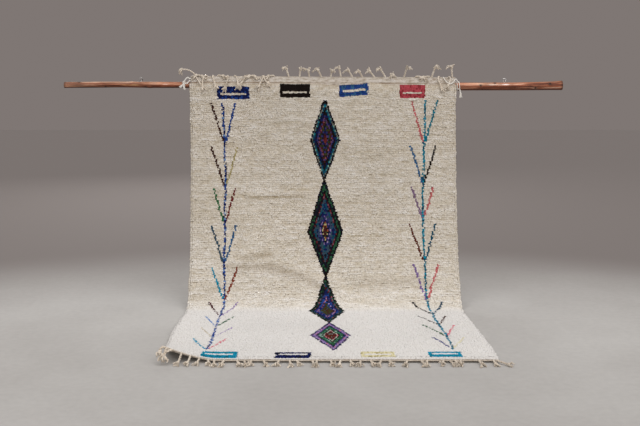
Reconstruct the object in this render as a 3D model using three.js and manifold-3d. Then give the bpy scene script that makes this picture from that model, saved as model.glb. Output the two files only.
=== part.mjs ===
// Azilal pile rug hung in front of a peeled wooden pole. Its lower half bends forward and lies flat.
// Millimetres: X runs along the pole to the right, Y to the back and Z up. The pile faces the front.
// The origin is under the lying half, on the level that the rug rests on.

import * as THREE from 'three';
import Module from 'manifold-3d';
import { mergeVertices } from 'three/addons/utils/BufferGeometryUtils.js';

const wasm = await Module();
wasm.setup();

// Driving dimensions
const SEAT_GAP = 0.4;
const NOMINAL_WIDTH = 1540;
const PILE_THICK = 18;
const BAND_THICK = 6;
const BAND_DEPTH = 40;
const RIM_DEPTH = 12;
const RIM_THICK = 11;
const COLUMNS = 25;
const ROW_STEP = 66;
const BEND_STEP = 36;
const LUMP = 0.8;
const STEP_SHARE = 0.72;
const BEND_FROM = 1000;
const BEND_TO = 1450;
const LEVEL_FROM = 430;

const POLE_BACK = 883;
const POLE_SIDES = 10;
const POLE_STEP = 110;
const NOMINAL_RADIUS = 20;
const NOMINAL_UP = 1231;

const STRIP_DEPTH = 4;
const STRIP_THICK = 5;

const EYE_PIPE = 1.6;
const EYE_RADIUS = 8.9;
const EYE_NECK = 5;
const EYE_SHANK = 12;
const EYE_SIDES = 8;

// The rug's underside seen from the side, from its top edge down to its front edge
const SPINE = [
  { back: 879, up: 1277 },
  { back: 868.5, up: 1254 },
  { back: 862.9, up: 1236 },
  { back: 861.5, up: 1215 },
  { back: 858, up: 1130 },
  { back: 852, up: 1020 },
  { back: 843, up: 880 },
  { back: 820, up: 670 },
  { back: 782, up: 500 },
  { back: 734, up: 350 },
  { back: 686, up: 237 },
  { back: 634, up: 145 },
  { back: 585, up: 78 },
  { back: 535, up: 31 },
  { back: 480, up: 6 },
  { back: LEVEL_FROM, up: 0 },
  { back: 300, up: 0 },
  { back: -120, up: 0 },
  { back: -545, up: 0 },
];

// Where the two side edges run, by distance along the rug from its top edge
const EDGES = [
  { along: 0, left: -745, right: 779 },
  { along: 170, left: -743, right: 775 },
  { along: 400, left: -742, right: 780 },
  { along: 700, left: -743, right: 784 },
  { along: 1000, left: -739, right: 788 },
  { along: 1240, left: -739, right: 791 },
  { along: 1480, left: -736, right: 787 },
  { along: 1680, left: -745, right: 799 },
  { along: 1900, left: -752, right: 816 },
  { along: 2120, left: -748, right: 829 },
  { along: 2270, left: -736, right: 831 },
  { along: 2380, left: -722, right: 833 },
];

// Soft folds of the hanging half: a line in rug coordinates, its height and its half width
const FOLDS = [
  { fromX: -520, fromAlong: 1085, toX: -300, toAlong: 1080, height: 7, reach: 26 },
  { fromX: -300, fromAlong: 1080, toX: -110, toAlong: 1140, height: 9, reach: 28 },
  { fromX: -110, fromAlong: 1140, toX: 10, toAlong: 1210, height: 7, reach: 28 },
  { fromX: -440, fromAlong: 1025, toX: -290, toAlong: 1010, height: 5, reach: 20 },
  { fromX: -300, fromAlong: 668, toX: -10, toAlong: 672, height: 4, reach: 22 },
  { fromX: -340, fromAlong: 452, toX: -160, toAlong: 450, height: 4, reach: 20 },
  { fromX: 80, fromAlong: 1120, toX: 180, toAlong: 1235, height: -7, reach: 34 },
  { fromX: 240, fromAlong: 1180, toX: 600, toAlong: 1165, height: 6, reach: 36 },
  { fromX: -700, fromAlong: 1270, toX: -560, toAlong: 1200, height: 6, reach: 34 },
];

// The front left corner curls up off the ground
const CORNER = { height: 50, acrossReach: 230, alongReach: 300 };

// The pole's axis and radius, from its left end to its right end
const POLE = [
  { x: -1478, back: 879, up: 1236, radius: 16.3 },
  { x: -1180, back: 885, up: 1239, radius: 16.8 },
  { x: -745, back: POLE_BACK, up: 1236.5, radius: 17.6 },
  { x: 0, back: POLE_BACK, up: 1232.2, radius: 20 },
  { x: 780, back: POLE_BACK, up: 1228, radius: 22 },
  { x: 1130, back: 886, up: 1228.5, radius: 22.6 },
  { x: 1330, back: 881, up: 1232, radius: 24.2 },
  { x: 1400, back: 879, up: 1234.5, radius: 27.4 },
];

// Knots where side shoots were cut: turn is the angle up from the front, in degrees
const POLE_KNOTS = [
  { x: -1260, turn: 10, rise: 3.0 },
  { x: -1085, turn: 55, rise: 3.0 },
  { x: -981, turn: -50, rise: 3.4 },
  { x: 924, turn: 20, rise: 2.8 },
  { x: 1006, turn: 50, rise: 3.2 },
  { x: 1235, turn: -15, rise: 3.6 },
  { x: 1322, turn: 35, rise: 3.4 },
];
const KNOT_REACH = 15;

const EYES = [
  { name: 'hanger_eye_left', x: -1031 },
  { name: 'hanger_eye_right', x: 1063 },
];

// Half sizes of a lock of fringe from root to tip: a cord, then its knot and the loose brush below it
const STRAND = 3.4;
const ROOT_SHARE = 0.45;
const KNOT_FORM = [
  { at: 0.5, wide: STRAND, high: STRAND },
  { at: 0.57, wide: 7, high: 6 },
  { at: 0.66, wide: 6.6, high: 5.6 },
  { at: 0.71, wide: 4.6, high: 3.8 },
  { at: 0.86, wide: 9.5, high: 5 },
  { at: 1, wide: 10.5, high: 3 },
];

const STRAIGHT_STRAND = [0, 0.12, 0.3];
const BENT_STRAND = [0, 0.05, 0.1, 0.15, 0.2, 0.27, 0.38];

// Upright locks on the top edge: the head leans to one side and droops
const UPRIGHT_LOCKS = [
  { x: -722, lean: -62, height: 42 },
  { x: -179, lean: -21, height: 58 },
  { x: -118, lean: 12, height: 58 },
  { x: -61, lean: -14, height: 52 },
  { x: 9, lean: -30, height: 52 },
  { x: 61, lean: 14, height: 47 },
  { x: 121, lean: -16, height: 64 },
  { x: 188, lean: -34, height: 48 },
  { x: 245, lean: -28, height: 42 },
  { x: 315, lean: -40, height: 44 },
  { x: 378, lean: -38, height: 55 },
  { x: 440, lean: -30, height: 20 },
  { x: 482, lean: 22, height: 64 },
  { x: 560, lean: -32, height: 18 },
  { x: 604, lean: 26, height: 20 },
  { x: 641, lean: 27, height: 68 },
  { x: 761, lean: -13, height: 78 },
];

// Locks that fall forward over the top edge and hang in front of the pile
const FALLEN_LOCKS = [
  { x: -700, lean: 26, drop: 92 },
  { x: -658, lean: -20, drop: 104 },
  { x: -600, lean: 14, drop: 66 },
  { x: -531, lean: 8, drop: 100 },
  { x: -473, lean: 10, drop: 78 },
  { x: -439, lean: -14, drop: 60 },
  { x: -398, lean: 12, drop: 88 },
  { x: -335, lean: 8, drop: 76 },
  { x: -271, lean: 34, drop: 72 },
  { x: -237, lean: -10, drop: 58 },
  { x: 683, lean: 20, drop: 74 },
  { x: 712, lean: -14, drop: 82 },
  { x: 736, lean: 8, drop: 62 },
];

// Locks on the front edge, lying on the ground
const LYING_LOCKS = [
  { x: -713, lean: -46, reach: 84 },
  { x: -702, lean: -12, reach: 96 },
  { x: -660, lean: -14, reach: 74 },
  { x: -612, lean: -12, reach: 72 },
  { x: -572, lean: -16, reach: 64 },
  { x: -520, lean: 12, reach: 72 },
  { x: -492, lean: 8, reach: 84 },
  { x: -446, lean: -14, reach: 90 },
  { x: -385, lean: 16, reach: 78 },
  { x: -352, lean: 14, reach: 86 },
  { x: -318, lean: -8, reach: 70 },
  { x: -262, lean: 18, reach: 82 },
  { x: -190, lean: -14, reach: 76 },
  { x: -141, lean: 10, reach: 88 },
  { x: -108, lean: 22, reach: 72 },
  { x: -36, lean: 14, reach: 84 },
  { x: -14, lean: -8, reach: 92 },
  { x: 50, lean: 12, reach: 78 },
  { x: 96, lean: -12, reach: 86 },
  { x: 140, lean: 16, reach: 72 },
  { x: 190, lean: -10, reach: 84 },
  { x: 236, lean: 14, reach: 78 },
  { x: 284, lean: -16, reach: 86 },
  { x: 322, lean: 12, reach: 74 },
  { x: 405, lean: -14, reach: 84 },
  { x: 470, lean: 18, reach: 78 },
  { x: 498, lean: -12, reach: 88 },
  { x: 572, lean: -8, reach: 74 },
  { x: 604, lean: 20, reach: 84 },
  { x: 628, lean: 14, reach: 66 },
  { x: 654, lean: -8, reach: 80 },
  { x: 738, lean: 14, reach: 84 },
  { x: 806, lean: 10, reach: 76 },
  { x: 824, lean: 62, reach: 78 },
];

const CREAM = 0xd8cfbf;
const IVORY = 0xe6dfd1;
const cloth = new THREE.MeshStandardMaterial({ color: CREAM, roughness: 0.95, metalness: 0 });
const yarn = new THREE.MeshStandardMaterial({ color: IVORY, roughness: 0.9, metalness: 0 });
const wood = new THREE.MeshStandardMaterial({ color: 0x9c5f42, roughness: 0.6, metalness: 0 });
const steel = new THREE.MeshStandardMaterial({ color: 0xb9bcc0, roughness: 0.35, metalness: 1 });

// Numbers read from a table
function readTable(rows, key, at, column) {
  if (at <= rows[0][key]) {
    return rows[0][column];
  }
  for (let i = 1; i < rows.length; i += 1) {
    const a = rows[i - 1];
    const b = rows[i];
    if (at <= b[key]) {
      const t = (at - a[key]) / (b[key] - a[key]);
      return a[column] + (b[column] - a[column]) * t;
    }
  }
  return rows[rows.length - 1][column];
}

function fade(from, to, value) {
  const t = THREE.MathUtils.clamp((value - from) / (to - from), 0, 1);
  return 1 - t * t * (3 - 2 * t);
}

// The pole
function poleAxis(x) {
  const back = readTable(POLE, 'x', x, 'back');
  const up = readTable(POLE, 'x', x, 'up');
  return new THREE.Vector3(x, back, up);
}

function poleRadius(x, turn = null) {
  let radius = readTable(POLE, 'x', x, 'radius');
  if (turn !== null) {
    for (const knot of POLE_KNOTS) {
      const round = Math.cos(turn - THREE.MathUtils.degToRad(knot.turn));
      const near = Math.exp(-(((x - knot.x) / KNOT_REACH) ** 2));
      radius += knot.rise * near * Math.max(0, round) ** 4;
    }
  }
  return radius;
}

// The rug's surface
const curve = new THREE.CatmullRomCurve3(
  SPINE.map(({ back, up }) => new THREE.Vector3(0, back, up)),
  false,
  'centripetal',
);
curve.arcLengthDivisions = 1200;
const RUG_LENGTH = curve.getLength();

function spineAt(along) {
  const inside = THREE.MathUtils.clamp(along, 0, RUG_LENGTH);
  const point = curve.getPointAt(inside / RUG_LENGTH);
  const tangent = curve.getTangentAt(inside / RUG_LENGTH);
  if (point.z < 0 || point.y < LEVEL_FROM) {
    tangent.set(0, -1, 0);
  }
  point.z = Math.max(0, point.z);
  point.addScaledVector(tangent, along - inside);
  const normal = new THREE.Vector3(0, tangent.z, -tangent.y);
  return { point, normal };
}

function foldHeight(x, along) {
  let height = 0;
  for (const fold of FOLDS) {
    const lineX = fold.toX - fold.fromX;
    const lineAlong = fold.toAlong - fold.fromAlong;
    const length2 = lineX ** 2 + lineAlong ** 2;
    const t = ((x - fold.fromX) * lineX + (along - fold.fromAlong) * lineAlong) / length2;
    const nearest = THREE.MathUtils.clamp(t, 0, 1);
    const dx = x - fold.fromX - lineX * nearest;
    const da = along - fold.fromAlong - lineAlong * nearest;
    height += fold.height * Math.exp(-(dx ** 2 + da ** 2) / fold.reach ** 2);
  }
  return height;
}

function cornerLift(x, along) {
  const fromSide = x - readTable(EDGES, 'along', along, 'left');
  const fromEnd = RUG_LENGTH - along;
  const across = THREE.MathUtils.clamp(1 - fromSide / CORNER.acrossReach, 0, 1);
  const back = THREE.MathUtils.clamp(1 - fromEnd / CORNER.alongReach, 0, 1.02);
  return CORNER.height * across ** 1.4 * back ** 1.6;
}

// A point at a height above the cloth's underside; across is 0 at the left edge and 1 at the right
function clothPoint(across, along, height) {
  const left = readTable(EDGES, 'along', along, 'left');
  const right = readTable(EDGES, 'along', along, 'right');
  const x = left + (right - left) * across;
  const { point, normal } = spineAt(along);
  point.addScaledVector(normal, height + foldHeight(x, along));
  point.x = x;
  point.y += (NOMINAL_RADIUS - poleRadius(x)) * fade(60, 500, along);
  point.z += (poleAxis(x).z - NOMINAL_UP) * fade(60, 900, along);
  point.z += cornerLift(x, along);
  return point;
}

function acrossAt(x, along) {
  const left = readTable(EDGES, 'along', along, 'left');
  const right = readTable(EDGES, 'along', along, 'right');
  return (x - left) / (right - left);
}

function pileThickness(across, along) {
  const fromEnd = Math.min(along, RUG_LENGTH - along);
  if (fromEnd < BAND_DEPTH + 0.1) {
    return BAND_THICK;
  }
  const x = across * NOMINAL_WIDTH;
  const lumps = LUMP * (Math.sin(x / 31) * Math.cos(along / 37) + Math.sin(x / 83 + along / 59));
  const side = Math.min(across, 1 - across) * NOMINAL_WIDTH;
  const rim = side < RIM_DEPTH ? RIM_THICK : PILE_THICK;
  const step = fromEnd < BAND_DEPTH + 5 ? STEP_SHARE : 1;
  return rim * step + lumps;
}

function rugRows() {
  const rows = [0, BAND_DEPTH / 2, BAND_DEPTH, BAND_DEPTH + 4, BAND_DEPTH + 16];
  let along = BAND_DEPTH + 50;
  while (along < RUG_LENGTH - BAND_DEPTH - 40) {
    rows.push(along);
    const inBend = along > BEND_FROM && along < BEND_TO;
    along += inBend ? BEND_STEP : ROW_STEP;
  }
  for (const back of [BAND_DEPTH + 16, BAND_DEPTH + 4, BAND_DEPTH, BAND_DEPTH / 2, 0]) {
    rows.push(RUG_LENGTH - back);
  }
  return rows;
}

function rugColumns() {
  const rim = RIM_DEPTH / NOMINAL_WIDTH;
  const columns = [0, rim];
  for (let i = 1; i < COLUMNS; i += 1) {
    columns.push(i / COLUMNS);
  }
  columns.push(1 - rim, 1);
  return columns;
}

// Closed meshes from rows of points
function meshGeometry(points, triangles) {
  const positions = points.flatMap((p) => [p.x, p.y, p.z]);
  let volume = 0;
  for (let i = 0; i < triangles.length; i += 3) {
    const [a, b, c] = [0, 1, 2].map((k) => points[triangles[i + k]]);
    volume += a.dot(b.clone().cross(c));
  }
  if (volume < 0) {
    triangles.reverse();
  }
  const geometry = new THREE.BufferGeometry();
  geometry.setAttribute('position', new THREE.Float32BufferAttribute(positions, 3));
  geometry.setIndex(triangles);
  geometry.computeVertexNormals();
  return geometry;
}

function slab(columns, rows, lowPoint, highPoint) {
  const wide = columns.length;
  const long = rows.length;
  const points = [];
  for (const surface of [lowPoint, highPoint]) {
    for (const along of rows) {
      for (const across of columns) {
        points.push(surface(across, along));
      }
    }
  }
  const at = (layer, row, column) => (layer * long + row) * wide + column;
  const triangles = [];
  const quad = (a, b, c, d) => triangles.push(a, b, c, a, c, d);
  for (let r = 0; r < long - 1; r += 1) {
    for (let c = 0; c < wide - 1; c += 1) {
      quad(at(0, r, c), at(0, r, c + 1), at(0, r + 1, c + 1), at(0, r + 1, c));
      quad(at(1, r, c), at(1, r + 1, c), at(1, r + 1, c + 1), at(1, r, c + 1));
    }
    quad(at(0, r, 0), at(0, r + 1, 0), at(1, r + 1, 0), at(1, r, 0));
    quad(at(0, r, wide - 1), at(1, r, wide - 1), at(1, r + 1, wide - 1), at(0, r + 1, wide - 1));
  }
  for (let c = 0; c < wide - 1; c += 1) {
    quad(at(0, 0, c), at(1, 0, c), at(1, 0, c + 1), at(0, 0, c + 1));
    quad(at(0, long - 1, c), at(0, long - 1, c + 1), at(1, long - 1, c + 1), at(1, long - 1, c));
  }
  return meshGeometry(points, triangles);
}

// Stations have a centre, two half sizes and the side and up directions of their section
function loft(stations, sides, turn = 0) {
  const points = [];
  for (const { centre, side, up, wide, high } of stations) {
    for (let k = 0; k < sides; k += 1) {
      const angle = turn + (2 * Math.PI * k) / sides;
      const point = centre.clone();
      point.addScaledVector(side, wide * Math.cos(angle));
      point.addScaledVector(up, high * Math.sin(angle));
      points.push(point);
    }
  }
  const triangles = [];
  const last = (stations.length - 1) * sides;
  for (let s = 0; s < stations.length - 1; s += 1) {
    for (let k = 0; k < sides; k += 1) {
      const a = s * sides + k;
      const b = s * sides + ((k + 1) % sides);
      triangles.push(a, b, b + sides, a, b + sides, a + sides);
    }
  }
  for (let k = 1; k < sides - 1; k += 1) {
    triangles.push(0, k + 1, k, last, last + k, last + k + 1);
  }
  return meshGeometry(points, triangles);
}

function pathStations(path, form, hint) {
  const line = new THREE.CatmullRomCurve3(path, false, 'centripetal');
  return form.map(({ at, wide, high }) => {
    const tangent = line.getTangentAt(at);
    const side = tangent.clone().cross(hint).normalize();
    const up = side.clone().cross(tangent).normalize();
    return { centre: line.getPointAt(at), side, up, wide, high };
  });
}

// Solids joined and cut
function solid(geometry) {
  const bare = geometry.clone();
  bare.deleteAttribute('normal');
  bare.deleteAttribute('uv');
  const merged = mergeVertices(bare);
  return new wasm.Manifold(new wasm.Mesh({
    numProp: 3,
    vertProperties: merged.attributes.position.array,
    triVerts: new Uint32Array(merged.index.array),
  }));
}

function geometryOf(body) {
  const { vertProperties, triVerts } = body.getMesh();
  const geometry = new THREE.BufferGeometry();
  geometry.setAttribute('position', new THREE.BufferAttribute(vertProperties, 3));
  geometry.setIndex(new THREE.BufferAttribute(triVerts, 1));
  geometry.computeVertexNormals();
  return geometry;
}

function joined(geometries) {
  return geometries.map(solid).reduce((whole, next) => whole.add(next));
}

// The pole's solid; extra makes the sleeve that its neighbours are kept out of
function poleGeometry(extra = 0) {
  const places = [];
  const first = POLE[0].x;
  const last = POLE[POLE.length - 1].x;
  for (let x = first; x < last - POLE_STEP / 2; x += POLE_STEP) {
    places.push(x);
  }
  places.push(last - KNOT_REACH, last);
  for (const knot of POLE_KNOTS) {
    places.push(knot.x - KNOT_REACH, knot.x, knot.x + KNOT_REACH);
  }
  places.sort((a, b) => a - b);
  const apart = places.filter((x, i) => i === 0 || x - places[i - 1] > 4);
  const points = [];
  const triangles = [];
  for (const x of apart) {
    const axis = poleAxis(x);
    for (let k = 0; k < POLE_SIDES; k += 1) {
      const turn = (2 * Math.PI * k) / POLE_SIDES;
      const radius = poleRadius(x, turn) + extra;
      points.push(new THREE.Vector3(x, axis.y - radius * Math.cos(turn), axis.z + radius * Math.sin(turn)));
    }
  }
  for (let s = 0; s < apart.length - 1; s += 1) {
    for (let k = 0; k < POLE_SIDES; k += 1) {
      const a = s * POLE_SIDES + k;
      const b = s * POLE_SIDES + ((k + 1) % POLE_SIDES);
      triangles.push(a, b, b + POLE_SIDES, a, b + POLE_SIDES, a + POLE_SIDES);
    }
  }
  const end = (apart.length - 1) * POLE_SIDES;
  for (let k = 1; k < POLE_SIDES - 1; k += 1) {
    triangles.push(0, k + 1, k, end, end + k, end + k + 1);
  }
  return meshGeometry(points, triangles);
}

function uprightCylinder(radius, low, high, x, back) {
  const geometry = new THREE.CylinderGeometry(radius, radius, high - low, EYE_SIDES);
  geometry.rotateX(Math.PI / 2);
  geometry.translate(x, back, (low + high) / 2);
  return geometry;
}

function eyeSeat(x) {
  const axis = poleAxis(x);
  const top = axis.z + poleRadius(x);
  return { x, back: axis.y, top, bottom: top - EYE_SHANK };
}

function makePole() {
  let body = solid(poleGeometry());
  for (const { x } of EYES) {
    const seat = eyeSeat(x);
    const hole = uprightCylinder(EYE_PIPE + 0.4, seat.bottom - 0.4, seat.top + 10, x, seat.back);
    body = body.subtract(solid(hole));
  }
  return geometryOf(body);
}

// A screw eye: its shank stands in the pole and its ring faces the front
function makeEye(x) {
  const seat = eyeSeat(x);
  const centre = seat.top + EYE_NECK + EYE_RADIUS;
  const ring = new THREE.TorusGeometry(EYE_RADIUS, EYE_PIPE, EYE_SIDES, 18);
  ring.rotateX(Math.PI / 2);
  ring.translate(x, seat.back, centre);
  const shank = uprightCylinder(EYE_PIPE, seat.bottom, centre - EYE_RADIUS, x, seat.back);
  return geometryOf(joined([ring, shank]));
}

// The rug's cloth: knotted pile between two flat woven end bands
function makeRug() {
  const low = (across, along) => clothPoint(across, along, 0);
  const high = (across, along) => clothPoint(across, along, pileThickness(across, along));
  return slab(rugColumns(), rugRows(), low, high);
}

// The narrow strip that the locks grow from, just past an end of the cloth
function fringeStrip(near, far) {
  const rows = near < far ? [near, far] : [far, near];
  const low = (across, along) => clothPoint(across, along, 0);
  const high = (across, along) => clothPoint(across, along, STRIP_THICK);
  return slab(rugColumns(), rows, low, high);
}

// A lock's section is a square turned by half a right angle, so its corners reach further than its sides
function lockForm(strand) {
  const cord = strand.map((at) => {
    const half = at === 0 ? STRAND * ROOT_SHARE : STRAND;
    return { at, wide: half, high: half };
  });
  return [...cord, ...KNOT_FORM].map(({ at, wide, high }) => ({
    at,
    wide: wide * Math.SQRT2,
    high: high * Math.SQRT2,
  }));
}

function uprightLock({ x, lean, height }) {
  const root = clothPoint(acrossAt(x, 0), -2, STRIP_THICK / 2);
  const droop = Math.sign(lean) * 7;
  const path = [
    root,
    new THREE.Vector3(x + lean * 0.15, root.y - 1, root.z + height * 0.55),
    new THREE.Vector3(x + lean * 0.7, root.y - 4, root.z + height),
    new THREE.Vector3(x + lean + droop, root.y - 8, root.z + height * 0.8),
    new THREE.Vector3(x + lean + droop * 1.6, root.y - 11, root.z + height * 0.8 - Math.min(22, height)),
  ];
  const form = lockForm(STRAIGHT_STRAND);
  return loft(pathStations(path, form, new THREE.Vector3(0, -1, 0)), 4, Math.PI / 4);
}

function fallenLock({ x, lean, drop }) {
  const across = acrossAt(x, 0);
  const tilt = lean / NOMINAL_WIDTH;
  const path = [
    clothPoint(across, -2.4, STRIP_THICK / 2),
    clothPoint(across, -8, STRIP_THICK / 2 + 2),
    clothPoint(across + tilt * 0.05, -12, STRIP_THICK + 7),
    clothPoint(across + tilt * 0.15, -3, BAND_THICK + 12),
    clothPoint(across + tilt * 0.5, BAND_DEPTH * 0.7, PILE_THICK + 11),
    clothPoint(across + tilt * 0.8, drop * 0.72, PILE_THICK + 13),
    clothPoint(across + tilt, drop + 8, PILE_THICK + 12),
  ];
  const form = lockForm(BENT_STRAND);
  return loft(pathStations(path, form, new THREE.Vector3(1, 0, 0)), 4, Math.PI / 4);
}

function lyingLock({ x, lean, reach }) {
  const root = clothPoint(acrossAt(x, RUG_LENGTH), RUG_LENGTH + 2, 0);
  const stations = lockForm(STRAIGHT_STRAND).map(({ at, wide, high }) => {
    const raised = root.z * Math.max(0, 1 - at / 0.75) ** 1.5;
    const sway = lean * at * at + Math.sin(at * Math.PI) * lean * 0.2;
    return {
      centre: new THREE.Vector3(x + sway, root.y - reach * at, raised + high / Math.SQRT2),
      side: new THREE.Vector3(1, 0, 0),
      up: new THREE.Vector3(0, 0, 1),
      wide,
      high,
    };
  });
  return loft(stations, 4, Math.PI / 4);
}

function makeTopFringe() {
  const strip = fringeStrip(-SEAT_GAP, -SEAT_GAP - STRIP_DEPTH);
  return geometryOf(joined([strip, ...UPRIGHT_LOCKS.map(uprightLock), ...FALLEN_LOCKS.map(fallenLock)]));
}

function makeFrontFringe() {
  const strip = fringeStrip(RUG_LENGTH + SEAT_GAP, RUG_LENGTH + SEAT_GAP + STRIP_DEPTH);
  return geometryOf(joined([strip, ...LYING_LOCKS.map(lyingLock)]));
}

// Ties: yarn wrapped round the pole beside each top corner of the rug, with its free ends
const TIE_YARN = 2.4;
const TIE_FORM = [0, 0.25, 0.5, 0.75, 1].map((at) => ({ at, wide: TIE_YARN, high: TIE_YARN }));
const TASSEL_FORM = [
  { at: 0, wide: 2.4, high: 2.4 },
  { at: 0.3, wide: 3.2, high: 2.6 },
  { at: 0.6, wide: 6, high: 3.2 },
  { at: 1, wide: 8.5, high: 2 },
];

function yarnRing(x) {
  const radius = poleRadius(x) / Math.cos(Math.PI / 16) + TIE_YARN + 0.5;
  const ring = new THREE.TorusGeometry(radius, TIE_YARN, 6, 16);
  ring.rotateY(Math.PI / 2);
  const axis = poleAxis(x);
  ring.translate(axis.x, axis.y, axis.z);
  return ring;
}

function yarnRun(path, form = TIE_FORM, hint = new THREE.Vector3(0, -1, 0)) {
  return loft(pathStations(path, form, hint), 6);
}

function yarnKnot(x, back, up, radius) {
  const knot = new THREE.IcosahedronGeometry(radius, 1);
  knot.translate(x, back, up);
  return knot;
}

function offPole(geometries) {
  const sleeve = solid(poleGeometry(SEAT_GAP));
  return geometryOf(joined(geometries).subtract(sleeve));
}

function makeLeftTie() {
  const corner = clothPoint(0, 14, BAND_THICK / 2);
  const knotX = -784;
  const axis = poleAxis(knotX);
  const front = axis.y - poleRadius(knotX) - 4;
  const high = axis.z + 16;
  return offPole([
    yarnRing(knotX),
    yarnKnot(knotX, front + 4, high, 7.5),
    yarnRun([
      new THREE.Vector3(corner.x - 1, corner.y, corner.z + 2),
      new THREE.Vector3(corner.x - 6, corner.y, corner.z + 2.5),
      new THREE.Vector3(corner.x - 16, corner.y - 3, corner.z + 9),
      new THREE.Vector3(knotX, front + 4, high + 3),
    ]),
    yarnRun([
      new THREE.Vector3(corner.x - 1, corner.y - 2, corner.z - 10),
      new THREE.Vector3(corner.x - 6, corner.y - 2, corner.z - 10),
      new THREE.Vector3(corner.x - 18, front - 1, high - 5),
      new THREE.Vector3(knotX, front + 3, high - 3),
    ]),
    yarnRun([
      new THREE.Vector3(knotX, front + 3, high - 2),
      new THREE.Vector3(knotX - 10, front - 3, high - 20),
      new THREE.Vector3(knotX - 24, front - 3, high - 32),
    ], TASSEL_FORM),
    yarnRun([
      new THREE.Vector3(knotX, front + 3, high - 2),
      new THREE.Vector3(knotX + 1, front - 4, high - 24),
      new THREE.Vector3(knotX + 5, front - 2, high - 46),
    ], TASSEL_FORM),
  ]);
}

function makeRightTie() {
  const corner = clothPoint(1, 10, BAND_THICK / 2);
  const innerX = corner.x + 9;
  const outerX = corner.x + 23;
  const axis = poleAxis(outerX);
  const front = axis.y - poleRadius(outerX) - 3;
  const top = axis.z + poleRadius(outerX);
  return offPole([
    yarnRing(innerX),
    yarnRing(outerX),
    yarnRun([
      new THREE.Vector3(corner.x + 1, corner.y, corner.z + 3),
      new THREE.Vector3(corner.x + 5, corner.y, corner.z + 3.5),
      new THREE.Vector3(corner.x + 11, corner.y - 3, top + 9),
      new THREE.Vector3(outerX, axis.y - 12, top - 1),
    ]),
    yarnRun([
      new THREE.Vector3(innerX, front + 4, axis.z - 12),
      new THREE.Vector3((innerX + outerX) / 2, front + 2, axis.z - 14),
      new THREE.Vector3(outerX, front + 4, axis.z - 12),
    ]),
    yarnRun([
      new THREE.Vector3(outerX, front + 3, axis.z - 11),
      new THREE.Vector3(outerX + 5, front + 1, axis.z - 28),
      new THREE.Vector3(outerX + 7, front, axis.z - 68),
    ], TASSEL_FORM),
  ]);
}

// The part
const group = new THREE.Group();

function addPart(name, geometry, material) {
  const mesh = new THREE.Mesh(geometry, material);
  mesh.name = name;
  group.add(mesh);
}

addPart('rug', makeRug(), cloth);
addPart('fringe_top', makeTopFringe(), yarn);
addPart('fringe_front', makeFrontFringe(), yarn);
addPart('pole', makePole(), wood);
addPart('tie_left', makeLeftTie(), yarn);
addPart('tie_right', makeRightTie(), yarn);
for (const { name, x } of EYES) {
  addPart(name, makeEye(x), steel);
}

export default group;
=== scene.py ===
# An Azilal pile rug hung in front of a peeled wooden pole, its lower half lying on the floor.
# Metres: X runs along the pole to the right, Y to the back and Z up. The pile faces the front.
# A place on the rug is given by x and by along, the distance from the rug's top edge.

import math

import bpy
import numpy as np
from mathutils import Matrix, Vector


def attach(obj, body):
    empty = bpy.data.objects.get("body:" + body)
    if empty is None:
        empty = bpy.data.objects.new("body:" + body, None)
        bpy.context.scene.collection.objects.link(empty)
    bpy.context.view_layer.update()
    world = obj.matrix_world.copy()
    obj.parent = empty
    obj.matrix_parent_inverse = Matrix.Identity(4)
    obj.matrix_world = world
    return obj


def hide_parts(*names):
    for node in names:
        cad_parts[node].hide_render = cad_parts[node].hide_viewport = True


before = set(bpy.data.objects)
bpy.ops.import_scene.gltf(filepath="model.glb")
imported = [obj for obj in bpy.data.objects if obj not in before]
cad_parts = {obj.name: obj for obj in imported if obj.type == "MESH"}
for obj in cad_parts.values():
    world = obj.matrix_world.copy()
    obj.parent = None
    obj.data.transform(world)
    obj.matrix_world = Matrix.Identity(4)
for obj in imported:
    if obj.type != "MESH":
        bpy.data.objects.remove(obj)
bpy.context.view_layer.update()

TURN = 2 * math.pi
WHITE = np.ones(3)

# The rug's underside seen from the side: back and up, from its top edge down to its front edge
SPINE = (
    (0.879, 1.277), (0.8685, 1.254), (0.8629, 1.236), (0.8615, 1.215), (0.858, 1.130),
    (0.852, 1.020), (0.843, 0.880), (0.820, 0.670), (0.782, 0.500), (0.734, 0.350),
    (0.686, 0.237), (0.634, 0.145), (0.585, 0.078), (0.535, 0.031), (0.480, 0.006),
    (0.430, 0.0), (0.300, 0.0), (-0.120, 0.0), (-0.545, 0.0),
)
LEVEL_FROM = 0.430

# Where the side edges run: along, left, right
EDGES = np.array((
    (0.0, -0.745, 0.779), (0.170, -0.743, 0.775), (0.400, -0.742, 0.780), (0.700, -0.743, 0.784),
    (1.000, -0.739, 0.788), (1.240, -0.739, 0.791), (1.480, -0.736, 0.787), (1.680, -0.745, 0.799),
    (1.900, -0.752, 0.816), (2.120, -0.748, 0.829), (2.270, -0.735, 0.831), (2.380, -0.717, 0.833),
))

# Soft folds: x and along of both ends, height and half width
FOLDS = (
    (-0.520, 1.085, -0.300, 1.080, 0.014, 0.026),
    (-0.300, 1.080, -0.110, 1.140, 0.017, 0.028),
    (-0.110, 1.140, 0.010, 1.210, 0.015, 0.028),
    (-0.440, 1.025, -0.290, 1.010, 0.011, 0.020),
    (-0.420, 0.675, -0.080, 0.662, 0.006, 0.018),
    (-0.340, 0.452, -0.160, 0.450, 0.004, 0.020),
    (0.080, 1.120, 0.180, 1.235, -0.012, 0.034),
    (0.240, 1.180, 0.600, 1.165, 0.010, 0.036),
    (-0.700, 1.270, -0.560, 1.200, 0.009, 0.034),
)

# The front left corner curls up: height, reach across and reach along
CORNER_HEIGHT = 0.064
CORNER_ACROSS = 0.230
CORNER_ALONG = 0.300

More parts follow.
